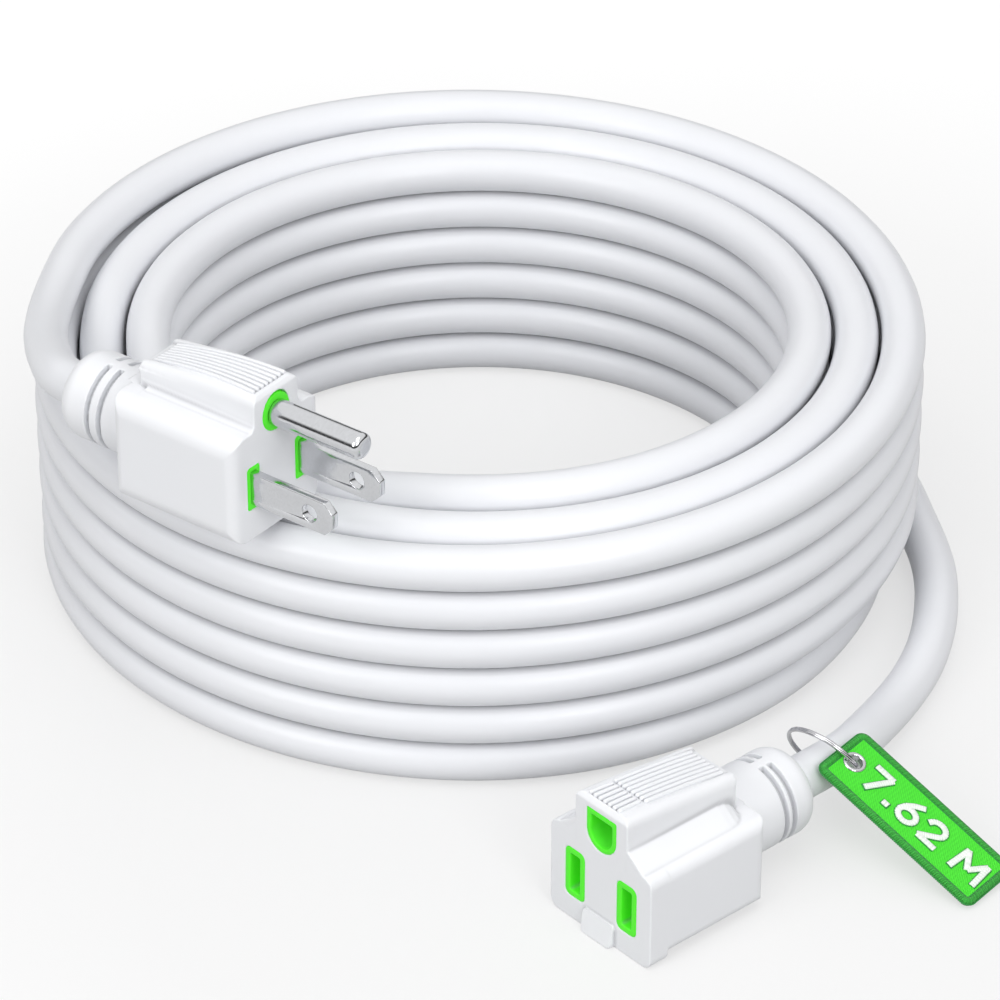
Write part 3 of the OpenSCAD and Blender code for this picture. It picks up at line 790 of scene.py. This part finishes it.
# edge: how far beside the rows of ribs the painted shade on their bed reaches
bed = {"before": 0.4, "behind": 1.7, "beside": 0.6, "below": 0.5, "edge": 0.1}
flank = {
    "width": 4.0,
    "rise": 0.8,
    "overlap": 0.4,
    "depth": 1.5,
    "skin": 0.1,
    "front": 0.02,
    "end": ((5, 0), (3.4, 0.25), (2.2, 0.9), (1.3, 1.9), (0.8, 3.2)),  # way from the end, inset
}
web = {
    "front": 22.4,
    "halfWidth": 3,
    "levels": ((17.2, 25.9), (19.05, 25.9), (19.6, 24.6), (21.6, 23.2)),  # height, rear end
}
foot = {
    # what is cut away beside the plug's ridge: places out from its wall and up from the shoulder
    "inset": 0.05,
    "along": (-1, 30),
    "rim": ((0, 4), (0, 1.3), (0.12, 0.75), (0.4, 0.35), (1, 0.02), (5, 0.02), (5, 4)),
}
lip = {"height": 4.5, "slack": 0.5, "atTop": 0.35, "atFoot": 1.3}
# how strong and how wide the painted shade in hollows is
hollow = {"gain": 9, "keep": 0.9, "rounds": 3}
blades = {"bevel": 0.18, "segments": 3, "bevelFrom": 40, "sharpFrom": 35}
weldReach = 0.000002


def topAt(size, x):
    height, slope, bend = size["top"]
    return height - slope * x - bend * x * x


def stackedForm(rims):
    # a closed form over rims of four points each
    faces = [(3, 2, 1, 0)]
    for i in range(0, len(rims) * 4 - 4, 4):
        faces += [(i + k, i + (k + 1) % 4, i + 4 + (k + 1) % 4, i + 4 + k) for k in range(4)]
    last = len(rims) * 4 - 4
    return [Vector(point) for rim in rims for point in rim], faces + [tuple(range(last, last + 4))]


def flankForms(size):
    # a sloping foot on either side of the ridge, and a web behind it
    inner = size["halfWidth"] - flank["overlap"]
    outer = size["halfWidth"] + flank["width"]
    base = size["shoulder"]
    rise = base + flank["width"] * flank["rise"]
    forms = []
    for side in (-1, 1):
        rims = []
        for back, inset in ((size["rearEnd"], 0), *flank["end"]):
            x = max(flank["front"], size["rearEnd"] - back)
            rim = [
                (outer - inset, base - flank["skin"]), (inner, rise - inset),
                (inner, base - flank["depth"]), (outer - inset, base - flank["depth"]),
            ]
            rims.append([(x, y * side, z) for y, z in rim])
        forms.append(stackedForm(rims))
    front, half = web["front"], web["halfWidth"]
    rims = [
        [(front, -half, z), (rear, -half, z), (rear, half, z), (front, half, z)]
        for z, rear in web["levels"]
    ]
    return forms + [stackedForm(rims)]


def housingPlace(size):
    turn = Matrix.Rotation(math.radians(size["turn"]), 4, "Z")
    return Matrix.Translation(Vector(size["place"])) @ turn


def joinFlanks(piece, housing):
    # the flanks go in before the remesh, which makes one skin of them and the housing
    size = housings[housing]
    place = housingPlace(size)
    form = bmesh.new()
    form.from_mesh(piece.data)
    for verts, faces in flankForms(size):
        made = [form.verts.new((place @ vert) * mm) for vert in verts]
        newFaces = [form.faces.new([made[k] for k in face]) for face in faces]
        bmesh.ops.recalc_face_normals(form, faces=newFaces)
    form.to_mesh(piece.data)
    form.free()


def cutFlanks(piece, housing):
    # beside the plug's ridge the shoulders are bare, with a hollow foot where they meet it
    size = housings[housing]
    inner, base = size["halfWidth"] - foot["inset"], size["shoulder"]
    rim = [(inner + out, base + up) for out, up in foot["rim"]]
    count = len(rim)
    place = housingPlace(size)
    verts, faces = [], []
    for side in (-1, 1):
        first = len(verts)
        spots = [(x, y * side, z) for x in foot["along"] for y, z in rim]
        verts += [tuple((place @ Vector(spot)) * mm) for spot in spots]
        near = tuple(range(first, first + count))
        faces += [(a, b, b + count, a + count) for a, b in zip(near, near[1:] + near[:1])]
        faces += [near[::-1], tuple(range(first + count, first + 2 * count))]
    mesh = bpy.data.meshes.new("cutter")
    mesh.from_pydata(verts, [], faces)
    form = bmesh.new()
    form.from_mesh(mesh)
    bmesh.ops.recalc_face_normals(form, faces=form.faces)
    form.to_mesh(mesh)
    form.free()
    cutter = bpy.data.objects.new("cutter", mesh)
    scene.collection.objects.link(cutter)
    cut = piece.modifiers.new("cut", "BOOLEAN")
    cut.operation = "DIFFERENCE"
    cut.solver = "EXACT"
    cut.object = cutter
    applied(piece)
    bpy.data.objects.remove(cutter)


def weldedCopy(node, title):
    mesh = nodes[node].data.copy()
    form = bmesh.new()
    form.from_mesh(mesh)
    bmesh.ops.remove_doubles(form, verts=form.verts, dist=weldReach)
    form.to_mesh(mesh)
    form.free()
    mesh.materials.clear()
    piece = bpy.data.objects.new(title, mesh)
    scene.collection.objects.link(piece)
    return piece


def applied(piece):
    # the piece's modifiers become its mesh
    shaped = piece.evaluated_get(bpy.context.evaluated_depsgraph_get())
    done = bpy.data.meshes.new_from_object(shaped)
    piece.modifiers.clear()
    piece.data = done
    return piece


def paintedHollowShade(mesh):
    # painted shade in hollows: hollows count more the deeper they are, and are then spread a little
    count = len(mesh.vertices)
    place = numpy.empty(count * 3)
    normal = numpy.empty(count * 3)
    ends = numpy.empty(len(mesh.edges) * 2, dtype=int)
    mesh.vertices.foreach_get("co", place)
    mesh.vertices.foreach_get("normal", normal)
    mesh.edges.foreach_get("vertices", ends)
    place, normal, ends = place.reshape(-1, 3), normal.reshape(-1, 3), ends.reshape(-1, 2)
    both = numpy.concatenate([ends, ends[:, ::-1]])
    share = numpy.maximum(1, numpy.bincount(both[:, 0], minlength=count))

    def around(values):
        return numpy.bincount(both[:, 0], weights=values[both[:, 1]], minlength=count) / share

    middle = numpy.stack([around(place[:, k]) for k in range(3)], axis=1)
    step = numpy.linalg.norm(place[ends[:, 0]] - place[ends[:, 1]], axis=1).mean()
    values = numpy.clip(((middle - place) * normal).sum(axis=1) / step * hollow["gain"], 0, 1)
    for _ in range(hollow["rounds"]):
        values = numpy.maximum(values * hollow["keep"], around(values))
    return values


def inHousing(housing, place):
    size = housings[housing]
    turn = math.radians(size["turn"])
    shifted = place / mm - numpy.array(size["place"])
    along = shifted[:, 0] * math.cos(turn) + shifted[:, 1] * math.sin(turn)
    aside = shifted[:, 1] * math.cos(turn) - shifted[:, 0] * math.sin(turn)
    return along, aside, shifted[:, 2]


def reshape(piece, housing):
    # the ridge takes its arched top line and blunt rear end, the ribs' bed follows it, and the
    # lip under the connector's face slopes
    size = housings[housing]
    origin = numpy.array(size["place"])
    turn = math.radians(size["turn"])
    mesh = piece.data
    place = numpy.empty(len(mesh.vertices) * 3)
    mesh.vertices.foreach_get("co", place)
    place = place.reshape(-1, 3)
    along, aside, up = inHousing(housing, place)
    shade = numpy.zeros(len(place))
    oldTop, oldSlope, oldRear, oldLean = size["made"]
    ridge = (up > size["shoulder"]) & (abs(aside) < size["halfWidth"] + rearBend["slack"])
    oldEnd = oldRear + (oldTop - oldSlope * oldRear - up) * oldLean
    turnAt = size["rearEnd"] - rearBend["length"]
    reach = (size["rearEnd"] - turnAt) / (oldEnd - turnAt)
    share = (up - size["shoulder"]) / (oldTop - oldSlope * along - size["shoulder"])
    rise = (topAt(size, along) - oldTop + oldSlope * along) * numpy.clip(share, 0, 1)
    along = numpy.where(ridge & (along > turnAt), turnAt + (along - turnAt) * reach, along)
    up = numpy.where(ridge, up + rise, up)
    top = topAt(size, along)
    for first, last, count, pitch, rearShare, shift in size["rows"]:
        way = numpy.clip((along - first) / (last - first), 0, 1)
        half = (count - 1) / 2 * pitch * (1 + (rearShare - 1) * way)
        far = abs(aside - shift) - half
        under = (along > first - bed["before"]) & (along < last + bed["behind"])
        under &= (far < bed["beside"]) & (up > top - bed["below"])
        up = numpy.where(under, numpy.minimum(up, top), up)
        # painted shade: the bed between the ribs is marked for darkening
        shade[under & (far < bed["edge"]) & (along > first) & (along < last)] = 1
    if housing == "connector":
        steep = numpy.clip(up / lip["height"], 0, 1)
        out = lip["atFoot"] - (lip["atFoot"] - lip["atTop"]) * steep
        low = up < lip["height"] + lip["slack"]
        along = numpy.where(low, numpy.maximum(along, -out), along)
    place[:, 0] = origin[0] + along * math.cos(turn) - aside * math.sin(turn)
    place[:, 1] = origin[1] + along * math.sin(turn) + aside * math.cos(turn)
    place[:, 2] = origin[2] + up
    mesh.vertices.foreach_set("co", (place * mm).ravel())
    mesh.update()
    return shade


def keptPiece(piece, node, slot):
    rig.ride(piece, "cord_set")
    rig.replaces(piece, node)
    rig.slot(piece, slot)
    return piece


def mouldedPiece(node, title, material, slot, voxel, rounds, housing=None):
    # a soft-edged moulding: remeshed finely, then the edges are eased
    piece = weldedCopy(node, title)
    if housing == "connector":
        joinFlanks(piece, housing)
    if housing == "plug":
        cutFlanks(piece, housing)
    remesh = piece.modifiers.new("remesh", "REMESH")
    remesh.mode = "VOXEL"
    remesh.voxel_size = voxel * mm
    applied(piece)
    shade = reshape(piece, housing) if housing else 0
    soften = piece.modifiers.new("soften", "SMOOTH")
    soften.factor = 0.5
    soften.iterations = rounds
    applied(piece)
    piece.data.materials.clear()
    piece.data.materials.append(material)
    smoothFaces(piece.data)
    # painted shade in the hollows and on the bed between the ribs
    addValues(piece.data, "painted_shade", numpy.maximum(paintedHollowShade(piece.data), shade))
    print(title, "moulded,", len(piece.data.polygons), "faces")
    return keptPiece(piece, node, slot)


def addBlade(node, title):
    piece = weldedCopy(node, title)
    bevel = piece.modifiers.new("bevel", "BEVEL")
    bevel.width = blades["bevel"] * mm
    bevel.segments = blades["segments"]
    bevel.limit_method = "ANGLE"
    bevel.angle_limit = math.radians(blades["bevelFrom"])
    bevel.harden_normals = False
    applied(piece)
    piece.data.materials.append(plugMetal)
    smoothFaces(piece.data)
    piece.data.set_sharp_from_angle(angle=math.radians(blades["sharpFrom"]))
    return keptPiece(piece, node, "pin")


shell = {"material": housingVinyl, "slot": "housing", "voxel": 0.15, "rounds": 5}
sleeve = {"material": housingVinyl, "slot": "housing", "voxel": 0.14, "rounds": 4}
core = {"material": greenPlastic, "slot": "core", "voxel": 0.16, "rounds": 4}
mouldedPiece("connector_housing", "connector_shell", housing="connector", **shell)
mouldedPiece("connector_strain_relief", "connector_sleeve", **sleeve)
mouldedPiece("connector_core", "connector_inner", **core)
plugHousing = mouldedPiece("plug_housing", "plug_shell", housing="plug", **shell)
plugSleeve = mouldedPiece("plug_strain_relief", "plug_sleeve", **sleeve)
plugCore = mouldedPiece("plug_core", "plug_inner", **core)
lineBlade = addBlade("plug_line_blade", "line_blade")
neutralBlade = addBlade("plug_neutral_blade", "neutral_blade")


def addRibs(housing):
    # crisp half-round ribs that follow the ridge's top line
    size = housings[housing]
    place = housingPlace(size)
    least, growth, power = ribs["tip"]
    ends, steps = ribs["ends"], ribs["steps"]
    verts, faces = [], []
    for first, last, count, pitch, rearShare, shift in size["rows"]:
        length = last - first
        middle = length - 2 * ends[-1]
        spots = [*ends, *(ends[-1] + middle * i / steps for i in range(1, steps))]
        spots += [length - end for end in reversed(ends)]
        draws = [1 + (rearShare - 1) * spot / length for spot in spots]
        radii = [
            ribs["radius"] * min(1, least + growth * min(spot, length - spot) ** power) * draw * mm
            for spot, draw in zip(spots, draws)
        ]
        for i in range(count):
            aside = (i - (count - 1) / 2) * pitch
            path = []
            for spot, draw in zip(spots, draws):
                x = first + spot
                up = topAt(size, x) + ribs["rise"]
                path.append((place @ Vector((x, shift + aside * draw, up))) * mm)
            joinTube(verts, faces, path, radii, ribs["sides"])
    return pieceFromMesh(housing + "_ribs", verts, faces, housingVinyl, "housing", "cord_set")


plainNodes = {
    "plug_ground_pin": plugMetal,
    "connector_line_contact": contactBrass,
    "connector_neutral_contact": contactBrass,
    "connector_ground_contact": contactBrass,
    "connector_line_lead": leadBlack,
    "connector_neutral_lead": leadWhite,
    "connector_ground_lead": leadGreen,
    "plug_line_lead": leadBlack,
    "plug_neutral_lead": leadWhite,
    "plug_ground_lead": leadGreen,
}
for plainNode, plainMaterial in plainNodes.items():
    nodes[plainNode].data.materials.clear()
    nodes[plainNode].data.materials.append(plainMaterial)

addRibs("connector")
plugRibs = addRibs("plug")

tag = {
    "eyelet": (31.9, -5.9, 13.7),
    "turn": -80.7,
    "slope": 23.4,
    "roll": 4.0,
    "length": 35.3,
    "width": 12.8,
    "thickness": 0.8,
    "eyeletIn": 3.5,
    "corner": 1.6,
    "hole": 1.7,
    "clothInset": 0.7,
    "around": 144,
    "levels": (0.0, 0.06, 0.2, 0.4, 0.6, 0.8, 0.93, 1.0),
    "sharpFrom": 50,
}
overlock = {
    "hem": 0.95,
    "gap": 0.4,
    "thread": 0.22,
    "sides": 6,
    "slant": 0.45,
    "wobble": ((0.07, 2.4, 0.0), (0.05, 5.1, 1.0)),
}
# the second line, at the rim, is partly dark thread and partly painted shade
seamAndRimShade = {"lines": ((1.28, -0.02), (-0.1, -0.25)), "radius": 0.12, "sides": 8, "steps": 240}
grommet = {"bore": 1.35, "flange": 0.75, "rise": 0.3, "bend": 12, "steps": 64}
ring = {
    "radius": 7.1,
    "lean": 28.0,
    "turn": 10.0,
    "wire": 0.62,
    "sides": 12,
    "rise": 0.6,
    "rough": (-0.1, -6.8, 1.5),
    "start": 150,
    "windings": 1.93,
    "steps": 150,
}

tagPlace = (
    Matrix.Translation(Vector(tag["eyelet"]))
    @ Matrix.Rotation(math.radians(tag["turn"]), 4, "Z")
    @ Matrix.Rotation(math.radians(tag["slope"]), 4, "Y")
    @ Matrix.Rotation(math.radians(tag["roll"]), 4, "X")
)


def fromTag(x, y, z):
    return (tagPlace @ Vector((x, y, z))) * mm


def addRing():
    lean = math.radians(ring["lean"])
    turn = math.radians(ring["turn"])
    level = math.cos(lean)
    axis = Vector((level * math.cos(turn), level * math.sin(turn), math.sin(lean)))
    rough = Vector(ring["rough"])
    toEyelet = (rough - axis * rough.dot(axis)).normalized()
    middle = Vector(tag["eyelet"]) - toEyelet * ring["radius"]
    other = axis.cross(toEyelet)
    path = []
    steps = ring["steps"]
    for i in range(steps + 1):
        a = math.radians(ring["start"]) + math.tau * ring["windings"] * i / steps
        out = (toEyelet * math.cos(a) + other * math.sin(a)) * ring["radius"]
        path.append((middle + out + axis * (i / steps - 0.5) * ring["rise"]) * mm)
    verts, faces = sweptTube(path, ring["wire"] / 2 * mm, ring["sides"])
    piece = pieceFromMesh("wire_ring", verts, faces, ringMetal, "ring", "ring")
    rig.replaces(piece, "split_ring")


def addEyelet():
    # a small rolled grommet: the section is turned about the tag's own upright
    half = grommet["flange"] / 2
    level = tag["thickness"] / 2
    section = []
    for k in range(grommet["bend"] + 1):
        a = math.pi * k / grommet["bend"]
        out = grommet["bore"] + half - math.cos(a) * half
        section.append((out, level + math.sin(a) * grommet["rise"]))
    section += [(r, -z) for r, z in reversed(section)]
    steps = grommet["steps"]
    turns = [math.tau * i / steps for i in range(steps)]
    verts = [fromTag(r * math.cos(a), r * math.sin(a), z) for a in turns for r, z in section]
    sides = len(section)
    faces = []
    for i in range(steps):
        j = (i + 1) % steps
        for k in range(sides):
            m = (k + 1) % sides
            faces.append((i * sides + k, j * sides + k, j * sides + m, i * sides + m))
    piece = pieceFromMesh("grommet", verts, faces, ringMetal, "ring", "tag")
    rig.replaces(piece, "eyelet")
    return piece


eyeletPiece = addEyelet()


def edgePoint(s, inset):
    # a point at the distance s along the tag's outline
    r = tag["corner"]
    halfL = tag["length"] / 2
    halfW = tag["width"] / 2
    middleX = halfL - tag["eyeletIn"]
    straightL = 2 * (halfL - r)
    straightW = 2 * (halfW - r)
    curve = math.pi / 2 * r
    runs = [
        (straightL, (-1, -1), (1, 0), (0, -1)),
        (straightW, (1, -1), (0, 1), (1, 0)),
        (straightL, (1, 1), (-1, 0), (0, 1)),
        (straightW, (-1, 1), (0, -1), (-1, 0)),
    ]
    s = s % (2 * (straightL + straightW) + 4 * curve)
    for run, corner, way, out in runs:
        cx = middleX + corner[0] * (halfL - r)
        cy = corner[1] * (halfW - r)
        if s <= run:
            return cx + way[0] * s + out[0] * (r - inset), cy + way[1] * s + out[1] * (r - inset)
        s -= run
        if s <= curve:
            a = s / r
            nx = out[0] * math.cos(a) + way[0] * math.sin(a)
            ny = out[1] * math.cos(a) + way[1] * math.sin(a)
            return cx + way[0] * run + nx * (r - inset), cy + way[1] * run + ny * (r - inset)
        s -= curve
    return edgePoint(0, inset)


def tagAround():
    r = tag["corner"]
    return 2 * (tag["length"] - 2 * r + tag["width"] - 2 * r) + math.tau * r


def addTagCloth():
    # the cloth is a closed sheet with a round hole for the eyelet
    count = tag["around"]
    half = tag["thickness"] / 2
    whole = tagAround()
    hole = tag["hole"]
    rims = [edgePoint(whole * k / count, tag["clothInset"]) for k in range(count)]
    rings = []
    for level in tag["levels"]:
        loop = []
        for ex, ey in rims:
            a = math.atan2(ey, ex)
            hx, hy = hole * math.cos(a), hole * math.sin(a)
            loop.append((hx + (ex - hx) * level, hy + (ey - hy) * level))
        rings.append(loop)
    verts, faces, places = [], [], []
    for face in (1, -1):
        for loop in rings:
            verts += [fromTag(x, y, face * half) for x, y in loop]
            places += [(x * mm, y * mm, 0) for x, y in loop]
    size = len(rings) * count
    for side in (0, 1):
        for i in range(len(rings) - 1):
            for k in range(count):
                m = (k + 1) % count
                quad = (i * count + k, (i + 1) * count + k, (i + 1) * count + m, i * count + m)
                quad = tuple(side * size + v for v in quad)
                faces.append(quad[::-1] if side else quad)
    last = size - count
    for k in range(count):
        m = (k + 1) % count
        faces.append((last + k, size + last + k, size + last + m, last + m))
        faces.append((k, m, size + m, size + k))
    piece = pieceFromMesh("tag_fabric", verts, faces, tagCloth, "tag_cloth", "tag", places)
    piece.data.set_sharp_from_angle(angle=math.radians(tag["sharpFrom"]))
    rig.replaces(piece, "tag_body")
    return piece


def addTagEdge():
    # overlock stitches wrap the edge one beside the other
    verts, faces, places = [], [], []
    whole = tagAround()
    count = round(whole / overlock["gap"])
    thick = tag["thickness"] / 2
    thread, hem, slant = overlock["thread"], overlock["hem"], overlock["slant"]
    over = [
        # inset, height and slant of a stitch from its inner end to the rim
        (hem, thick - 0.1, slant),
        (hem - 0.35, thick + 0.12, slant * 0.8),
        (hem * 0.5, thick + 0.2, slant * 0.4),
        (0.12, thick + 0.05, 0.1),
    ]
    profile = over + [(-0.08, 0.0, 0.0)] + [(inset, -z, -shift) for inset, z, shift in over[::-1]]
    for i in range(count):
        s = whole * i / count
        wobble = sum(far * math.sin(i * pace + start) for far, pace, start in overlock["wobble"])
        path = []
        for inset, z, shift in profile:
            uneven = wobble if inset > hem * 0.7 else 0
            path.append(fromTag(*edgePoint(s + shift, inset + thread + uneven), z))
        added = joinTube(verts, faces, path, thread * mm, overlock["sides"])
        places += [(i * 0.0007 + 0.0001 * (n % overlock["sides"]), s * mm, 0) for n in range(added)]
    piece = pieceFromMesh("tag_overlock", verts, faces, edgeThread, "tag_thread", "tag", places)
    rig.replaces(piece, "tag_border")
    return piece


def addTagSeamAndRimShade():
    # dark lines where the overlock ends on the face and where it turns at the rim; the line at the rim is partly the
    # border's dark thread and partly painted shade under the rim
    verts, faces = [], []
    whole = tagAround()
    steps = seamAndRimShade["steps"]
    for inset, level in seamAndRimShade["lines"]:
        height = tag["thickness"] / 2 + level
        path = [fromTag(*edgePoint(whole * i / steps, inset), height) for i in range(steps)]
        joinTube(verts, faces, path, seamAndRimShade["radius"] * mm, seamAndRimShade["sides"], closed=True)
    return pieceFromMesh("tag_seam_and_rim_shade", verts, faces, outlineThread, "tag_thread", "tag")


def arc(x, y, radius, first, last, count=14):
    turns = [math.radians(first + (last - first) * i / count) for i in range(count + 1)]
    return [(x + radius * math.cos(a), y + radius * math.sin(a)) for a in turns]


figures = {
    # each figure's advance, and the middle lines of its strokes, in heights of a figure
    "words": "7.62 M",
    "height": 5.0,
    "widen": 1.2,
    "stroke": 1.02,
    "stitch": 0.2,
    "overhang": 0.25,
    "start": (3.3, -2.4),
    "sides": 6,
    "section": ((-1, 0.16), (-0.8, 0.03), (0, 0), (0.8, 0.03), (1, 0.16)),
    "lines": {
        "7": (0.84, [[(0.02, 1), (0.62, 1), (0.2, 0)]]),
        ".": (0.42, [[(0.06, 0.04), (0.16, 0.04)]]),
        "6": (0.9, [
            [(0.52, 1), (0.3, 0.82), (0.12, 0.58), (0.05, 0.33)]
            + arc(0.34, 0.3, 0.29, 170, 520, 22),
        ]),
        "2": (0.88, [arc(0.32, 0.7, 0.29, 165, -35) + [(0.03, 0.01), (0.64, 0.01)]]),
        " ": (0.42, []),
        "M": (1.0, [[(0.02, 0), (0.08, 1), (0.45, 0.3), (0.82, 1), (0.88, 0)]]),
    },
}


def walkLine(line, gap):
    # evenly spaced places along a line, each with its direction
    left = 0.0
    for (x0, y0), (x1, y1) in zip(line, line[1:]):
        reach = math.hypot(x1 - x0, y1 - y0)
        while left <= reach:
            t = left / reach
            yield x0 + (x1 - x0) * t, y0 + (y1 - y0) * t, (x1 - x0) / reach, (y1 - y0) / reach
            left += gap
        left -= reach


def addFigures(title, grow, lift, thread, material):
    # raised figures: threads laid side by side across each stroke
    verts, faces, places = [], [], []
    startX, startY = figures["start"]
    size = figures["height"]
    wide = size * figures["widen"]
    half = figures["stroke"] / 2 + grow
    out = grow + figures["overhang"]
    for sign in figures["words"]:
        advance, strokes = figures["lines"][sign]
        for stroke in strokes:
            line = [(startX + x * wide, startY + y * size) for x, y in stroke]
            ends = []
            for (ax, ay), (bx, by) in ((line[1], line[0]), (line[-2], line[-1])):
                reach = math.hypot(bx - ax, by - ay)
                ends.append((bx + (bx - ax) / reach * out, by + (by - ay) / reach * out))
            line = [ends[0], *line[1:-1], ends[1]]
            for x, y, dx, dy in walkLine(line, figures["stitch"]):
                path = [
                    fromTag(x - dy * half * side, y + dx * half * side, lift - sink)
                    for side, sink in figures["section"]
                ]
                added = joinTube(verts, faces, path, thread * mm, figures["sides"])
                places += [(x * mm, y * mm, 0)] * added
        startX += advance * wide
    return pieceFromMesh(title, verts, faces, material, "tag_thread", "tag", places)


addRing()
tagPiece = addTagCloth()
edgePiece = addTagEdge()
seamAndRimShadePiece = addTagSeamAndRimShade()
outlinePiece = addFigures("figure_outline", 0.16, 0.5, 0.14, outlineThread)
figurePiece = addFigures("figures", 0, 0.62, 0.15, figureThread)
print("ring and tag made")

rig.cord(
    cord,
    exit=cordSizes["exit"],
    length=cordSizes["realLength"],
    path=cordPath,
    diameter=cordSizes["diameter"] * mm,
    far_end="plug",
    stiffness="medium",
    lay="coiled",
    with_pieces=[
        plugHousing, plugRibs, plugSleeve, plugCore,
        lineBlade, neutralBlade, nodes["plug_ground_pin"],
    ],
)
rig.sheet(
    tagPiece,
    flat=(tag["width"] * mm, tag["length"] * mm),
    held="laid",
    rests_on=["wire_ring"],
    with_pieces=[edgePiece, seamAndRimShadePiece, outlinePiece, figurePiece, eyeletPiece],
)

light = {
    "skyTones": (0.0, 0.9, 0.46, 0.68),  # heights of the horizon and zenith, and their strengths
    "bandTones": (0.22, 0.42, 0.06, 1.0),  # the same for the dark band that shiny pieces mirror
    "lamps": [
        # place, aim, size, power
        ((-0.12, -0.2, 1.0), (0.04, 0.08, 0), 0.7, 2.3),
        ((-0.95, 0.0, 0.6), (0.03, 0.08, 0.02), 0.5, 3.4),
        ((-0.25, -0.85, 0.6), (0.03, 0.06, 0.02), 0.4, 3.2),
    ],
}
ground = {
    "reach": 3.0,
    "roughness": 0.6,
    "shine": 0.1,
    "shown": 0.3,
    "bounce": 0.45,
    "mirrored": 0.55,
    "middle": (0.02, 0.02, 0),
    # the glow that rises with the distance paints the floor darker near the object
    "fade": (0.1, 0.42, 0.6, 0.82),  # near and far distances, and the glow at each
}


def addGrey(level):
    return (level, level, level, 1)


def addFloor():
    # the floor glows a little for the camera and in mirrors, and more with the distance, so that a painted shade
    # darkens it near the object
    reach = ground["reach"]
    corners = [(-reach, -reach, 0), (reach, -reach, 0), (reach, reach, 0), (-reach, reach, 0)]
    mesh = bpy.data.meshes.new("floor")
    mesh.from_pydata(corners, [], [(0, 1, 2, 3)])
    floor = bpy.data.objects.new("floor", mesh)
    scene.collection.objects.link(floor)
    material = bpy.data.materials.new("paleFloor")
    material.use_nodes = True
    tree = material.node_tree
    links = tree.links
    shader = tree.nodes["Principled BSDF"]
    shader.inputs["Roughness"].default_value = ground["roughness"]
    shader.inputs["Specular IOR Level"].default_value = ground["shine"]
    ray = addNode(tree, "ShaderNodeLightPath")
    seen = ray.outputs["Is Camera Ray"]
    shown, bounce = addGrey(ground["shown"]), addGrey(ground["bounce"])
    links.new(mixColour(tree, seen, bounce, shown), shader.inputs["Base Color"])
    mirrored = math2(tree, "MULTIPLY", ray.outputs["Is Glossy Ray"], ground["mirrored"])
    glowing = math2(tree, "MAXIMUM", seen, mirrored)
    spot = addNode(tree, "ShaderNodeNewGeometry")
    away = addNode(tree, "ShaderNodeVectorMath", operation="DISTANCE")
    away.inputs[1].default_value = ground["middle"]
    links.new(spot.outputs["Position"], away.inputs[0])
    glow = mapRange(tree, away.outputs["Value"], *ground["fade"])
    links.new(mixColour(tree, glowing, (0, 0, 0, 1), glow), shader.inputs["Emission Color"])
    shader.inputs["Emission Strength"].default_value = 1.0
    mesh.materials.append(material)
    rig.stage(floor)


def addWorld():
    # the sky is brightest overhead and greyer towards the horizon
    world = bpy.data.worlds.new("studio")
    world.use_nodes = True
    tree = world.node_tree
    sky = tree.nodes["Background"]
    sky.inputs["Color"].default_value = (1, 1, 1, 1)
    way = addNode(tree, "ShaderNodeTexCoord")
    parts = addNode(tree, "ShaderNodeSeparateXYZ")
    tree.links.new(way.outputs["Generated"], parts.inputs[0])
    plain = mapRange(tree, parts.outputs["Z"], *light["skyTones"])
    mirrored = mapRange(tree, parts.outputs["Z"], *light["bandTones"])
    ray = addNode(tree, "ShaderNodeLightPath")
    strength = addNode(tree, "ShaderNodeMix", data_type="FLOAT")
    tree.links.new(ray.outputs["Is Glossy Ray"], strength.inputs[0])
    tree.links.new(plain, strength.inputs[2])
    tree.links.new(mirrored, strength.inputs[3])
    tree.links.new(strength.outputs[0], sky.inputs["Strength"])
    scene.world = world


def addLamps():
    for place, aim, size, power in light["lamps"]:
        data = bpy.data.lights.new("softLamp", "AREA")
        data.shape = "SQUARE"
        data.size = size
        data.energy = power
        lamp = bpy.data.objects.new("softLamp", data)
        lamp.location = place
        lamp.rotation_euler = (Vector(aim) - Vector(place)).to_track_quat("-Z", "Y").to_euler()
        scene.collection.objects.link(lamp)


addFloor()
addWorld()
addLamps()
print("floor and lamps placed")

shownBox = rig.bounds()
with open("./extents.json", "w") as sizes:
    json.dump({"cad": [list(map(float, c)) for c in cadBox], "visual": [list(map(float, c)) for c in shownBox]}, sizes)
print("sizes written")
